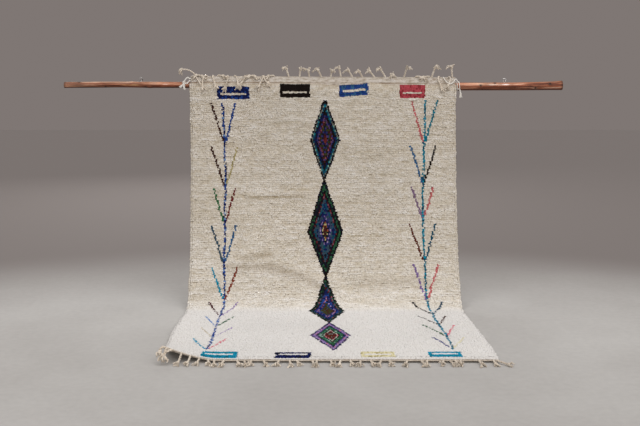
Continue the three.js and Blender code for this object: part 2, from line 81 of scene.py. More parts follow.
# The pole: x, back, up and radius
POLE = np.array((
    (-1.478, 0.879, 1.236, 0.0163), (-1.180, 0.885, 1.239, 0.0168), (-0.745, 0.883, 1.2365, 0.0176),
    (0.0, 0.883, 1.2322, 0.020), (0.780, 0.883, 1.228, 0.022), (1.130, 0.886, 1.2285, 0.0226),
    (1.330, 0.881, 1.232, 0.0242), (1.400, 0.879, 1.2345, 0.0274),
))
NOMINAL_UP = 1.231
NOMINAL_RADIUS = 0.020

# The rug follows the pole's thickness and its bends less and less between these places along
THICKNESS_FADE = (0.06, 0.5)
BENDS_FADE = (0.06, 0.9)

# Knots of the wood: x, angle up from the front in degrees, and rise
POLE_KNOTS = (
    (-1.260, 10, 0.0030), (-1.085, 55, 0.0030), (-0.981, -50, 0.0034), (0.924, 20, 0.0028),
    (1.006, 50, 0.0032), (1.235, -15, 0.0036), (1.322, 35, 0.0034),
)
KNOT_REACH = 0.015
EYES_X = (-1.031, 1.063)

# Woven ground and its end bands
GROUND_COLUMNS = 64
GROUND_STEP = 0.018
BAND_STEP = 0.0025
RIB_PITCH = 0.005
GROOVE_PLACE = 0.032
LIP_REACH = 0.013
BAND_DEPTH = 0.040
BAND_THICK = 0.006
GROUND_THICK = 0.0035
FRONT_LIFT = 0.009

# Pile
PILE_HEIGHT = 0.0172
COLUMNS = 166
ROW_PITCH = 0.0113
FIRST_ROW = 0.0045
PILE_PIECES = 5

# The pile hangs down to one place along the rug and lies from another. It leans by these along the cloth
HANG_UNTIL = 1.30
LYING_FROM = 1.50
HANGING_LEAN = 0.0135
LYING_LEAN = 0.0140

# Rings of a tuft, from its root up: shares of its lean where it lies and where it hangs, shares of its height
# likewise, half width, half depth, lightness (painted shade toward the root, a painted highlight at the top),
# and its slope there along the cloth and up
TUFT_RINGS = (
    ((-0.06, -0.06), (0.34, 0.34), 0.0086, 0.0070, (0.56, 0.51, 0.44), (0.35, 1.0)),
    ((0.30, 0.34), (0.74, 0.78), 0.0078, 0.0058, (0.65, 0.61, 0.56), (0.75, 0.62)),
    ((0.82, 0.98), (0.98, 0.99), 0.0070, 0.0040, (1.06, 1.06, 1.06), (1.0, 0.10)),
)
TIP_LEANS = (1.22, 1.18)
TIP_HEIGHTS = (0.80, 0.70)
# The tip's lightness is a painted highlight.
TIP_HIGHLIGHT = 1.16


# Curves and noise

def travel(path):
    """How far along a path each of its points is."""
    return np.concatenate([[0], np.cumsum(np.linalg.norm(np.diff(path, axis=0), axis=1))])


def unit(vectors):
    return vectors / np.linalg.norm(vectors, axis=-1, keepdims=True)


def smooth_path(points, steps):
    """Steps + 1 points, evenly apart, on a smooth curve through the given ones."""
    given = np.asarray(points, float)
    padded = np.vstack([2 * given[0] - given[1], given, 2 * given[-1] - given[-2]])
    t = np.linspace(0, 1, 40, endpoint=False)[:, None]
    runs = []
    for i in range(len(given) - 1):
        a, b, c, d = padded[i:i + 4]
        k0, k1, k2 = (np.linalg.norm(v) ** 0.5 for v in (b - a, c - b, d - c))
        leave = ((b - a) / k0 - (c - a) / (k0 + k1) + (c - b) / k1) * k1
        arrive = ((c - b) / k1 - (d - b) / (k1 + k2) + (d - c) / k2) * k1
        runs.append(
            (2 * t**3 - 3 * t**2 + 1) * b + (t**3 - 2 * t**2 + t) * leave
            + (3 * t**2 - 2 * t**3) * c + (t**3 - t**2) * arrive
        )
    fine = np.vstack([*runs, given[-1:]])
    gone = travel(fine)
    places = np.linspace(0, gone[-1], steps + 1)
    return np.stack([np.interp(places, gone, fine[:, k]) for k in range(given.shape[1])], -1)


def soft_noise(u, v, seed):
    """Noise from -1 to 1 whose bumps are about one unit across."""
    lattice = np.random.default_rng(seed).uniform(-1, 1, (256, 256))
    column = np.floor(u).astype(int)
    row = np.floor(v).astype(int)
    fu, fv = (t * t * (3 - 2 * t) for t in (u - column, v - row))

    def in_row(row):
        return lattice[column % 256, row % 256] * (1 - fu) + lattice[(column + 1) % 256, row % 256] * fu

    return in_row(row) * (1 - fv) + in_row(row + 1) * fv


def fade(low, high, value):
    """1 up to low, 0 from high on, smooth between."""
    t = np.clip((value - low) / (high - low), 0, 1)
    return 1 - t * t * (3 - 2 * t)


# The rug's surface

SIDE_LINE = smooth_path(SPINE, 1600)
RUG_LENGTH = float(travel(SIDE_LINE)[-1])
SIDE_PLACES = np.linspace(0, RUG_LENGTH, len(SIDE_LINE))
SIDE_SLOPE = unit(np.gradient(SIDE_LINE, SIDE_PLACES, axis=0))


def side_edge(along, column):
    return np.interp(along, EDGES[:, 0], EDGES[:, column])


def at_across(across, along):
    """x of a place given by its share of the rug's width."""
    left = side_edge(along, 1)
    return left + (side_edge(along, 2) - left) * across


def pole_at(x, column):
    return np.interp(x, POLE[:, 0], POLE[:, column])


def round_pole(x, out, angle):
    """Points at a distance from the pole's axis, by their angle up from its front."""
    x, out, angle = np.broadcast_arrays(x, out, angle)
    return np.stack([x, pole_at(x, 1) - out * np.cos(angle), pole_at(x, 2) + out * np.sin(angle)], -1)


def fold_height(x, along):
    ridge = np.zeros_like(x)
    trough = np.zeros_like(x)
    for from_x, from_along, to_x, to_along, top, reach in FOLDS:
        line_x = to_x - from_x
        line_along = to_along - from_along
        t = ((x - from_x) * line_x + (along - from_along) * line_along) / (line_x**2 + line_along**2)
        t = np.clip(t, 0, 1)
        apart = (x - from_x - line_x * t) ** 2 + (along - from_along - line_along * t) ** 2
        height = top * np.exp(-apart / reach**2)
        ridge = np.maximum(ridge, height)
        trough = np.minimum(trough, height)
    return ridge + trough


def corner_lift(x, along):
    across = np.clip(1 - (x - side_edge(along, 1)) / CORNER_ACROSS, 0, 1)
    back = np.clip(1 - (RUG_LENGTH - along) / CORNER_ALONG, 0, 1.02)
    return CORNER_HEIGHT * across**1.4 * back**1.6


def on_rug(x, along, height):
    """Points at a height above the cloth's underside."""
    x, along, height = np.broadcast_arrays(*(np.asarray(v, float) for v in (x, along, height)))
    inside = np.clip(along, 0, RUG_LENGTH)
    y, z = (np.interp(inside, SIDE_PLACES, SIDE_LINE[:, k]) for k in (0, 1))
    run_y, run_z = (np.interp(inside, SIDE_PLACES, SIDE_SLOPE[:, k]) for k in (0, 1))
    level = (z < 0) | (y < LEVEL_FROM)
    run_y = np.where(level, -1, run_y)
    run_z = np.where(level, 0, run_z)
    over = along - inside
    rise = height + fold_height(x, along)
    y = y + run_y * over + run_z * rise
    z = np.maximum(z, 0) + run_z * over - run_y * rise
    y = y + (NOMINAL_RADIUS - pole_at(x, 3)) * fade(*THICKNESS_FADE, along)
    z = z + (pole_at(x, 2) - NOMINAL_UP) * fade(*BENDS_FADE, along) + corner_lift(x, along)
    return np.stack([x, y, z], -1)


# Meshes

def new_object(name, data):
    made = bpy.data.objects.new(name, data)
    bpy.context.scene.collection.objects.link(made)
    return made


def add_piece(name, points, faces, materials, replaces=(), tints=None, places=None, face_material=None):
    """A mesh that rides on the part. Each array in faces holds polygons with one count of corners."""
    mesh = bpy.data.meshes.new(name)
    corners = np.concatenate([block.ravel() for block in faces]).astype(np.int32)
    sizes = np.concatenate([np.full(len(block), block.shape[1]) for block in faces]).astype(np.int32)
    mesh.vertices.add(len(points))
    mesh.vertices.foreach_set("co", np.asarray(points, np.float32).ravel())
    mesh.loops.add(len(corners))
    mesh.loops.foreach_set("vertex_index", corners)
    mesh.polygons.add(len(sizes))
    mesh.polygons.foreach_set("loop_start", np.concatenate([[0], np.cumsum(sizes)[:-1]]).astype(np.int32))
    mesh.polygons.foreach_set("use_smooth", np.ones(len(sizes), bool))
    if face_material is not None:
        mesh.polygons.foreach_set("material_index", np.asarray(face_material, np.int32))
    mesh.update(calc_edges=True)
    if tints is not None:
        layer = mesh.color_attributes.new("Tint", "FLOAT_COLOR", "POINT")
        rgba = np.column_stack([tints, np.ones(len(points))]).astype(np.float32)
        layer.data.foreach_set("color", rgba.ravel())
    if places is not None:
        layer = mesh.uv_layers.new(name="Place")
        layer.data.foreach_set("uv", np.asarray(places, np.float32)[corners].ravel())
    for material in materials:
        mesh.materials.append(material)
    piece = new_object(name, mesh)
    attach(piece, "root")
    if replaces:
        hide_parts(*replaces)
    return piece


def rings_about(path, side, up, radius, sides):
    """A ring of points round each point of a path."""
    angle = (np.arange(sides) * TURN / sides)[None, :, None]
    return path[:, None] + (np.cos(angle) * side[:, None] + np.sin(angle) * up[:, None]) * radius


def wall(starts, ends, sides, flipped=False):
    """Quads between rings of points, from the number of the first point of each ring and of the next one."""
    here, there = (np.asarray(first)[:, None] + np.arange(sides) for first in (starts, ends))
    quads = np.stack([here, np.roll(here, -1, 1), np.roll(there, -1, 1), there], -1).reshape(-1, 4)
    return quads[:, [0, 3, 2, 1]] if flipped else quads


def fan(first, centre, sides):
    """Triangles that close a ring of points round one in its middle."""
    ring = first + np.arange(sides)
    return np.stack([ring, np.roll(ring, -1), np.full(sides, centre)], -1)


class Batch:
    """Many small forms gathered into one mesh."""

    def __init__(self):
        self.points = []
        self.quads = []
        self.fans = []
        self.tints = []
        self.count = 0

    def add(self, points, quads, fans, tint):
        self.points.append(points)
        self.quads.append(quads + self.count)
        self.fans.append(fans + self.count)
        self.tints.append(np.broadcast_to(tint, points.shape))
        self.count += len(points)

    def tube(self, path, radius, sides, tint=WHITE):
        """A closed tube along a path; its radius is a number or one for each point."""
        path = np.asarray(path, float)
        radius = np.broadcast_to(radius, len(path))[:, None, None]
        rings = rings_about(path, *carried_frames(path), radius, sides).reshape(-1, 3)
        starts = np.arange(len(path)) * sides
        quads = wall(starts[:-1], starts[1:], sides)
        fans = np.vstack([fan(0, len(rings), sides)[:, [1, 0, 2]], fan(starts[-1], len(rings) + 1, sides)])
        self.add(np.vstack([rings, path[:1], path[-1:]]), quads, fans, tint)

    def ring(self, path, radius, sides, tint):
        """A tube along a closed path, joined end to end."""
        ahead = unit(np.roll(path, -1, 0) - np.roll(path, 1, 0))
        side = unit(np.cross(ahead, path - path.mean(0)))
        rings = rings_about(path, side, np.cross(side, ahead), radius, sides)
        starts = np.arange(len(path)) * sides
        quads = wall(starts, np.roll(starts, -1), sides, flipped=True)
        self.add(rings.reshape(-1, 3), quads, np.zeros((0, 3), int), tint)

    def piece(self, name, look, slot, replaces=()):
        faces = [np.vstack(self.quads), np.vstack(self.fans)]
        faces = [block for block in faces if len(block)]
        return add_piece(name, np.vstack(self.points), faces, [look], replaces, np.vstack(self.tints))


def carried_frames(path):
    """Side and up directions that turn as little as they can along a path."""
    ahead = unit(np.gradient(path, axis=0))
    hint = np.array((1.0, 0, 0)) if abs(ahead[0, 0]) < 0.8 else np.array((0, 0, 1.0))
    side = np.zeros_like(path)
    for i, direction in enumerate(ahead):
        hint = unit(hint - direction * (hint @ direction))
        side[i] = hint
    return side, np.cross(ahead, side)


def twisted(batch, path, radius, tint=WHITE, pitch=4.5, sides=6):
    """A yarn of two plies laid round each other; pitch is in radii."""
    side, up = carried_frames(path)
    turn = TURN * travel(path) / (pitch * radius)
    for start in (0, math.pi):
        angle = (turn + start)[:, None]
        out = (side * np.cos(angle) + up * np.sin(angle)) * radius * 0.48
        batch.tube(path + out, radius * 0.56, sides, tint)


# Materials

class Look:
    """A node material, with short ways to add and join its nodes."""

    def __init__(self, name, roughness, sheen=0.0, metallic=0.0, specular=0.5):
        self.material = bpy.data.materials.new(name)
        self.material.use_nodes = True
        self.tree = self.material.node_tree
        self.shader = self.tree.nodes["Principled BSDF"]
        for key, value in (("Roughness", roughness), ("Metallic", metallic), ("Specular IOR Level", specular),
                           ("Sheen Weight", sheen), ("Sheen Roughness", 0.5)):
            self.shader.inputs[key].default_value = value

    def node(self, kind, inputs, **settings):
        made = self.tree.nodes.new("ShaderNode" + kind)
        for key, value in settings.items():
            setattr(made, key, value)
        for key, value in inputs.items():
            if isinstance(value, bpy.types.NodeSocket):
                self.tree.links.new(value, made.inputs[key])
            else:
                made.inputs[key].default_value = value
        return made

    def tint(self):
        return self.node("Attribute", {}, attribute_name="Tint").outputs["Color"]

    def place(self, scale, mapped=False):
        """Places in the object, or in the mesh's Place map, times a number or one for each axis."""
        source = self.node("UVMap", {}, uv_map="Place") if mapped else self.node("TexCoord", {})
        source = source.outputs["UV" if mapped else "Object"]
        return self.node("Mapping", {"Vector": source, "Scale": np.broadcast_to(scale, 3)}).outputs[0]

    def noise(self, scale, detail=3.0, rough=0.55, mapped=False):
        return self.node("TexNoise", {
            "Vector": self.place(scale, mapped), "Scale": 1.0, "Detail": detail, "Roughness": rough,
        }).outputs["Fac"]

    def wave(self, scale, distortion, detail, detail_scale=1.0, **settings):
        return self.node("TexWave", {
            "Vector": self.place(1, mapped=True), "Scale": scale, "Distortion": distortion, "Detail": detail,
            "Detail Scale": detail_scale,
        }, **settings).outputs["Fac"]

    def axis(self, name, mapped=False):
        return self.node("SeparateXYZ", {"Vector": self.place(1, mapped)}).outputs[name]

    def ramp(self, fac, *stops):
        """A colour ramp. Each stop has a position and a colour, or a number for a grey."""
        made = self.node("ValToRGB", {"Fac": fac})
        elements = made.color_ramp.elements
        while len(elements) < len(stops):
            elements.new(0.5)
        for element, (position, colour) in zip(elements, stops):
            element.position = position
            element.color = (*np.broadcast_to(colour, 3), 1)
        return made.outputs[0]

    def blend(self, a, b, fac=1.0, mode="MULTIPLY"):
        made = self.node("Mix", {0: fac}, data_type="RGBA", blend_type=mode)
        for key, value in ((6, a), (7, b)):
            if isinstance(value, bpy.types.NodeSocket):
                self.tree.links.new(value, made.inputs[key])
            else:
                made.inputs[key].default_value = (*value, 1)
        return made.outputs[2]

    def math(self, operation, a, b):
        return self.node("Math", {0: a, 1: b}, operation=operation).outputs[0]

    def between(self, value, low, high, to_low, to_high, kind="LINEAR"):
        return self.node("MapRange", {
            "Value": value, "From Min": low, "From Max": high, "To Min": to_low, "To Max": to_high,
        }, interpolation_type=kind).outputs[0]

    def finish(self, colour, height, distance, strength):
        """Colours the material and bumps it by a height."""
        self.tree.links.new(colour, self.shader.inputs["Base Color"])
        bump = self.node("Bump", {"Height": height, "Distance": distance, "Strength": strength})
        self.tree.links.new(bump.outputs[0], self.shader.inputs["Normal"])
        return self.material


def wool_look():
    """Loose woollen pile, tinted tuft by tuft, with uneven rows where it hangs."""
    look = Look("pile wool", roughness=0.95, sheen=0.05, specular=0.12)
    fibre = look.noise(900, detail=2.0)
    rows = look.ramp(look.noise((22, 240, 240), detail=2.0), (0.36, (0.86, 0.82, 0.75)), (0.60, 1.035))
    hanging = look.between(look.axis("Z"), 0.03, 0.30, 0.25, 1.0)
    tint = look.blend(look.tint(), rows, hanging)
    return look.finish(look.blend(tint, look.ramp(fibre, (0.3, 0.80), (0.7, 1.08))), fibre, 0.0008, 0.6)


def woven_look():
    """The flat woven ground: packed weft over warps, and a darker brown line over the groove along each end
    band, fading out in patches.
    """
    look = Look("woven ground", roughness=0.92, sheen=0.1)
    weft = look.wave(78.0, 2.5, 2.0, 3.0, wave_type="BANDS", bands_direction="Y")
    warp = look.wave(60.0, 1.5, 1.0, wave_type="BANDS", bands_direction="X")
    weave = look.math("MULTIPLY", look.math("ADD", weft, 0.3), look.math("ADD", warp, 0.5))
    blotch = look.noise((30, 75, 1), detail=4.0, mapped=True)
    base = look.ramp(
        blotch, (0.34, (0.50, 0.40, 0.31)), (0.48, (0.75, 0.67, 0.57)), (0.64, (0.90, 0.83, 0.76)),
    )
    # The weave darkens the colour between its threads: painted shade in the weave's hollows.
    base = look.blend(base, look.ramp(weave, (0.12, 0.62), (0.95, 1.05)))
    along = look.axis("Y", mapped=True)
    from_end = look.math("MINIMUM", along, look.math("SUBTRACT", RUG_LENGTH, along))
    line = look.ramp(
        look.math("MULTIPLY", from_end, 20.0),
        (0.61, 1.0), (0.65, (0.58, 0.47, 0.37)), (0.70, (0.54, 0.44, 0.34)), (0.75, 1.0),
    )
    uneven = look.ramp(look.noise((3.5, 3.5, 1), detail=2.0, mapped=True), (0.30, 0.15), (0.52, 1.0))
    return look.finish(look.blend(base, line, uneven), weave, 0.0016, 0.9)


def yarn_look(name, light, dark):
    """Hand spun fringe yarn, with darker and lighter lengths."""
    look = Look(name, roughness=0.9, sheen=0.2)
    fibre = look.noise(1200, detail=1.0)
    base = look.blend(look.ramp(look.noise(60), (0.35, dark), (0.65, light)), look.tint())
    return look.finish(look.blend(base, look.ramp(fibre, (0.3, 0.82), (0.7, 1.05))), fibre, 0.0004, 0.6)


def wood_look():
    """Peeled sapling, red brown, with long grain and paler strips. The scars, and painted highlights and
    shade, are in its tints.
    """
    look = Look("pole wood", roughness=0.46, specular=0.28)
    grain = look.noise((5, 190, 190), detail=5.0, rough=0.6)
    strip = look.noise((2.6, 46, 46), detail=4.0, rough=0.6)
    base = look.ramp(
        strip, (0.38, (0.19, 0.060, 0.029)), (0.47, (0.37, 0.140, 0.072)), (0.56, (0.45, 0.185, 0.104)),
        (0.62, (0.60, 0.310, 0.190)),
    )
    base = look.blend(base, look.ramp(grain, (0.36, 0.52), (0.60, 1.12)))
    base = look.blend(base, look.ramp(look.noise(9), (0.36, 0.80), (0.64, 1.10)))
    return look.finish(look.blend(base, look.tint()), look.math("ADD", grain, strip), 0.0010, 0.6)


def end_grain_look():
    """Sawn end of the pole, with rings round a pith."""
    look = Look("pole end grain", roughness=0.75)
    rings = look.wave(120.0, 1.5, 2.0, wave_type="RINGS", rings_direction="Z")
    colour = look.ramp(rings, (0.2, (0.20, 0.115, 0.065)), (0.8, (0.34, 0.22, 0.135)))
    return look.finish(colour, rings, 0.0003, 0.5)


def steel_look():
    """Zinc plated wire, its colour broken into dark and bright patches that are painted highlights and shade;
    the patches also bump it a little.
    """
    look = Look("eye steel", roughness=0.33, metallic=1.0)
    glint_patches = look.noise(120, detail=2.0)
    return look.finish(look.ramp(glint_patches, (0.42, 0.10), (0.54, (0.80, 0.80, 0.79))), glint_patches, 0.0001, 0.4)


def floor_look():
    """A pale plaster floor that darkens toward the back of the studio."""
    look = Look("floor plaster", roughness=0.85)
    fine = look.noise(28, detail=4.0)
    base = look.ramp(look.noise(1.1, detail=4.0), (0.3, (0.450, 0.440, 0.425)), (0.7, (0.530, 0.525, 0.510)))
    base = look.blend(base, look.ramp(fine, (0.3, 0.95), (0.7, 1.03)))
    place = look.node("TexCoord", {}).outputs["Object"]
    from_front = look.node("VectorMath", {0: place, 1: (0.0, -2.0, 0.0)}, operation="DISTANCE")
    far = look.between(from_front.outputs["Value"], 2.9, 4.6, 0.0, 1.0, "SMOOTHSTEP")
    return look.finish(look.blend(base, (0.206, 0.184, 0.176), far, "MIX"), fine, 0.0006, 0.25)


# The pattern. Wools are linear colours

def wool(red, green, blue):
    """A linear colour from one as seen on a screen, 0 to 255."""
    share = np.array((red, green, blue)) / 255
    return np.where(share <= 0.04045, share / 12.92, ((share + 0.055) / 1.055) ** 2.4)


WOOLS = {name: wool(*screen) for name, screen in {
    "cream": (233, 230, 225), "lemon": (226, 219, 182), "khaki": (188, 178, 130), "tan": (198, 188, 168),
    "black": (26, 16, 13), "brown": (66, 35, 25), "maroon": (78, 28, 34), "garnet": (116, 42, 40),
    "red": (196, 84, 98), "crimson": (160, 58, 68), "rust": (134, 60, 38), "russet": (98, 46, 28),
    "salmon": (204, 112, 116), "pink": (218, 130, 144), "rose": (150, 84, 100), "orange": (158, 84, 44),
    "olive": (62, 66, 36), "green": (46, 96, 66), "bottle": (26, 56, 43), "leaf": (60, 120, 78),
    "jade": (62, 124, 102), "mint": (140, 178, 166), "teal": (14, 126, 152), "petrol": (16, 84, 112),
    "aqua": (14, 148, 184), "steel": (56, 104, 152), "slate": (58, 84, 104), "sky": (118, 152, 204),
    "blue": (34, 72, 150), "navy": (20, 32, 92), "ink": (20, 22, 42), "violet": (58, 60, 124),
    "purple": (98, 72, 122), "lilac": (168, 146, 196), "lavender": (136, 114, 172), "mauve": (136, 112, 144),
    "grey": (96, 94, 92), "ash": (138, 142, 136),
}.items()}

# Stems: x and along from the top down, with the wools that alternate in each
LEFT_STEM = ((-0.560, 0.140), (-0.548, 0.360), (-0.546, 0.825), (-0.550, 1.000), (-0.537, 1.320),
             (-0.541, 1.730), (-0.536, 2.130), (-0.548, 2.240))
RIGHT_STEM = ((0.604, 0.117), (0.596, 0.590), (0.594, 0.800), (0.599, 1.185), (0.604, 1.364),
              (0.620, 1.732), (0.637, 1.957), (0.640, 2.236))

# Branches, in pairs: along of the fork, reach up the rug, then wool and reach aside of either branch
LEFT_BRANCHES = (
    (0.367, 0.230, "brown", 0.080, "blue", 0.064),
    (0.620, 0.230, "brown", 0.080, "khaki", 0.072),
    (0.833, 0.199, "leaf", 0.066, "garnet", 0.056),
    (1.072, 0.223, "slate", 0.078, "steel", 0.064),
    (1.303, 0.203, "aqua", 0.078, "rust", 0.066),
    (1.556, 0.229, "maroon", 0.078, "lilac", 0.076),
    (1.785, 0.205, "sky", 0.074, "green", 0.076),
    (2.005, 0.192, "tan", 0.078, "lilac", 0.082),
    (2.235, 0.209, "aqua", 0.088, "pink", 0.084),
)
RIGHT_BRANCHES = (
    (0.365, 0.243, "salmon", 0.072, "teal", 0.072),
    (0.600, 0.215, "steel", 0.074, "black", 0.070),
    (0.802, 0.185, "mauve", 0.066, "salmon", 0.062),
    (1.060, 0.227, "russet", 0.086, "petrol", 0.068),
    (1.302, 0.223, "lavender", 0.068, "salmon", 0.072),
    (1.522, 0.201, "black", 0.092, "slate", 0.076),
    (1.748, 0.187, "grey", 0.094, "brown", 0.056),
    (1.978, 0.217, "green", 0.098, "pink", 0.062),
    (2.205, 0.199, "violet", 0.076, "lemon", 0.082),
)
FAINT_WOOLS = ("khaki", "lilac", "tan", "lemon", "sky")
STEMS = (
    (LEFT_STEM, LEFT_BRANCHES, "blue navy blue sky"),
    (RIGHT_STEM, RIGHT_BRANCHES, "teal petrol aqua teal"),
)
STEM_HALF = 0.005

# Rows at the tips of a lozenge that have the wools of its outline alone
TIP_ROWS = 2.2

# Widths of the knots in a line, as shares of a plain one
LINE_WIDE = 1.40
FAINT_WIDE = 0.85
OUTLINE_WIDE = 1.35
BESIDE_OUTLINE_WIDE = 0.65
FINER = 0.80

# Bars: left x, right x, top along, depth and the wools mixed in it
BARS = (
    (-0.592, -0.406, 0.051, 0.070, "navy navy blue"), (-0.232, -0.054, 0.040, 0.072, "black"),
    (0.112, 0.278, 0.040, 0.061, "blue blue steel"), (0.459, 0.608, 0.040, 0.071, "red red red crimson"),
    (-0.559, -0.392, 2.272, 0.084, "aqua aqua teal"), (-0.212, -0.040, 2.282, 0.076, "navy ink navy"),
    (0.192, 0.356, 2.274, 0.076, "lemon lemon lemon khaki"),
    (0.512, 0.668, 2.266, 0.086, "aqua aqua teal"),
)

# The rows of knots slope at the third bar
SLANT_X = 0.195
SLANT_REACH = 0.200
SLANT_RISE = 0.0073

# The chain of lozenges: along, x and half width of its tips and widest places
LOZENGES = np.array((
    (0.118, 0.029, 0.007), (0.348, 0.030, 0.087), (0.582, 0.024, 0.005), (0.883, 0.030, 0.102),
    (1.150, 0.033, 0.005), (1.455, 0.038, 0.098), (1.711, 0.048, 0.003), (1.966, 0.055, 0.102),
    (2.250, 0.067, 0.002),
))

# Lines where the pile parts, painted darker and warmer as the shade where its roots show: along, x from and
# to, and strength
PARTINGS = (
    (0.682, -0.700, -0.045, 0.27), (0.640, -0.220, -0.040, 0.16), (0.905, 0.120, 0.420, 0.14),
    (0.500, -0.480, -0.200, 0.12), (1.020, -0.460, -0.240, 0.12), (0.420, 0.160, 0.480, 0.12),
)

# Rings of each lozenge from outside in: depth in knots and the wools mixed in it. A ring one knot deep takes
# the first half of its wools in every other row and the second half between. The last ring fills the middle
RINGS = (
    (
        (1, "black black black ink"), (1, "ash mint ash slate"), (1, "petrol teal ink petrol"),
        (2, "ink navy black ink"), (1, "purple maroon violet purple"), (1, "rose olive maroon ink"),
        (1, "bottle olive brown"), (1, "olive ink violet"), (1, "navy ink purple navy"),
        (9, "garnet rust maroon"),
    ),
    (
        (1, "black black black ink"), (2, "bottle ink green bottle"), (1, "black black ink"),
        (1, "rose ink garnet maroon"), (2, "navy petrol slate ink"), (2, "petrol navy slate violet"),
        (1, "lavender violet navy lilac"), (1, "navy ink violet"), (1, "khaki ink orange khaki"),
        (9, "brown maroon olive"),
    ),
    (
        (1, "black ink black"), (1, "bottle green bottle"), (1, "slate bottle ink rose"),
        (1, "maroon ink petrol ink"), (2, "blue navy violet"), (1, "lilac ink rose navy"),
        (1, "navy ink blue"), (9, "olive brown olive slate"),
    ),
    (
        (1, "ink purple navy"), (1, "lavender purple lilac"), (1, "lilac pink lavender"),
        (1, "purple ink violet"), (1, "bottle ink green"), (2, "jade green mint"), (1, "bottle ink brown"),
        (1, "pink tan rose mint"), (2, "garnet maroon garnet"), (9, "ash brown rust"),
    ),
)


# The rug's pieces

class Knots:
    """The knots of the pile: row and column of each, its x and along, its wool and its width."""

    def __init__(self):
        depth = RUG_LENGTH - 2 * (BAND_DEPTH + FIRST_ROW)
        rows = int(depth / ROW_PITCH)
        row, column = np.meshgrid(np.arange(rows), np.arange(COLUMNS), indexing="ij")
        self.row = row.ravel()
        self.column = column.ravel()
        self.along = BAND_DEPTH + FIRST_ROW + self.row * depth / (rows - 1)
        self.x = at_across((self.column + 0.5) / COLUMNS, self.along)
        self.left = at_across(0, self.along)
        self.right = at_across(1, self.along)
        self.pitch = (self.right - self.left) / COLUMNS
        self.wools = np.full(len(self.x), "cream", dtype=object)
        self.wide = np.ones(len(self.x))
        self.pick = np.random.default_rng(5).random(len(self.x))
        self.uneven = 0.0011 * (2 * (self.row % 2) - 1) + 0.0008 * (2 * self.pick - 1)
        self.draw_lozenges()
        self.draw_bars()
        for stem in STEMS:
            self.draw_stem(*stem)

    def paint(self, where, wools, choice):
        """Gives each knot one of the named wools, by a choice from 0 to 1."""
        wools = wools.split()
        for i, name in enumerate(wools):
            self.wools[where & (np.floor(choice * len(wools)) == i)] = name

    def draw_lozenges(self):
        """In each row the knots of a lozenge are finer and fill its width, and those beside it make room."""
        column, along = self.column, self.along
        patches = np.clip(soft_noise(self.x / 0.022, along / 0.032, 31) * 0.65 + 0.5, 0, 0.999)
        mixed = patches * 0.5 + self.pick * 0.5
        centre = np.interp(along, LOZENGES[:, 0], LOZENGES[:, 1])
        half = np.maximum(np.interp(along, LOZENGES[:, 0], LOZENGES[:, 2]), 0.5 * self.pitch)
        across = np.maximum(np.round(2 * half / (self.pitch * FINER)), 1)
        before = np.round((centre - self.left) / self.pitch - across / 2)
        place = column - before
        here = (along >= LOZENGES[0, 0]) & (along < LOZENGES[-1, 0])
        self.x = np.where(here, np.select(
            [place < 0, place < across],
            [self.left + (column + 0.5) * (centre - half - self.left) / before,
             centre - half + (place + 0.5) * 2 * half / across],
            centre + half
            + (place - across + 0.5) * (self.right - centre - half) / (COLUMNS - before - across),
        ), self.x)
        inside = here & (place >= 0) & (place < across)
        depth = np.minimum(place, across - 1 - place)
        self.wide[inside] = FINER
        self.wide[inside & (depth == 0)] = OUTLINE_WIDE
        self.wide[inside & (depth == 1)] = BESIDE_OUTLINE_WIDE
        for rings, top, bottom in zip(RINGS, LOZENGES[:-1:2, 0], LOZENGES[2::2, 0]):
            within = inside & (along >= top) & (along < bottom)
            tips = np.minimum(along - top, bottom - along) < TIP_ROWS * ROW_PITCH
            ring = np.where(tips, 0, depth)
            start = 0
            for knots_deep, wools in rings:
                choice = (self.row % 2 + mixed) * 0.5 if knots_deep == 1 else mixed
                self.paint(within & (ring >= start) & (ring < start + knots_deep), wools, choice)
                start += knots_deep

    def draw_bars(self):
        """Each bar has a narrow slot of cream along its middle."""
        for left, right, top, depth, wools in BARS:
            across = np.round((right - left) / self.pitch)
            place = self.column - np.round((left - self.left) / self.pitch)
            inside = (place >= 0) & (place < across) & (self.along > top) & (self.along < top + depth)
            self.x = np.where(inside, left + (right - left) * ((place + 0.5) / across), self.x)
            slot_rows = 0.5 if top < HANG_UNTIL else 1.0
            slot = np.abs(self.along - top - depth * 0.5) < ROW_PITCH * slot_rows
            self.paint(inside & ~(slot & (place >= 2) & (place < across - 2)), wools, self.pick)

    def draw_line(self, target, within, wide):
        """Moves the nearest knot of each row onto a line, and says which knots those are."""
        apart = np.abs(self.x - target).reshape(-1, COLUMNS)
        nearest = np.arange(COLUMNS)[None] == apart.argmin(1)[:, None]
        chosen = nearest.ravel() & within
        self.x[chosen] = target[chosen] + self.uneven[chosen]
        self.wide[chosen] = wide
        return chosen

    def draw_stem(self, points, branches, wools):
        stem_x, stem_along = np.array(points).T
        for fork, reach, *sides in branches:
            up = (fork - self.along) / reach
            for side, (name, aside) in zip((-1, 1), (sides[:2], sides[2:])):
                foot = np.interp(fork, stem_along, stem_x) + side * STEM_HALF
                target = foot + side * (aside - STEM_HALF) * up
                wide = FAINT_WIDE if name in FAINT_WOOLS else LINE_WIDE
                self.wools[self.draw_line(target, (up > 0.02) & (up < 1), wide)] = name
        line = np.interp(self.along, stem_along, stem_x)
        within = (self.along > stem_along[0]) & (self.along < stem_along[-1])
        dotted = (np.sin(self.row * 2.1 + stem_x[0]) + 1) / 2 * 0.6 + self.pick * 0.4
        self.paint(self.draw_line(line, within, LINE_WIDE), wools, dotted)


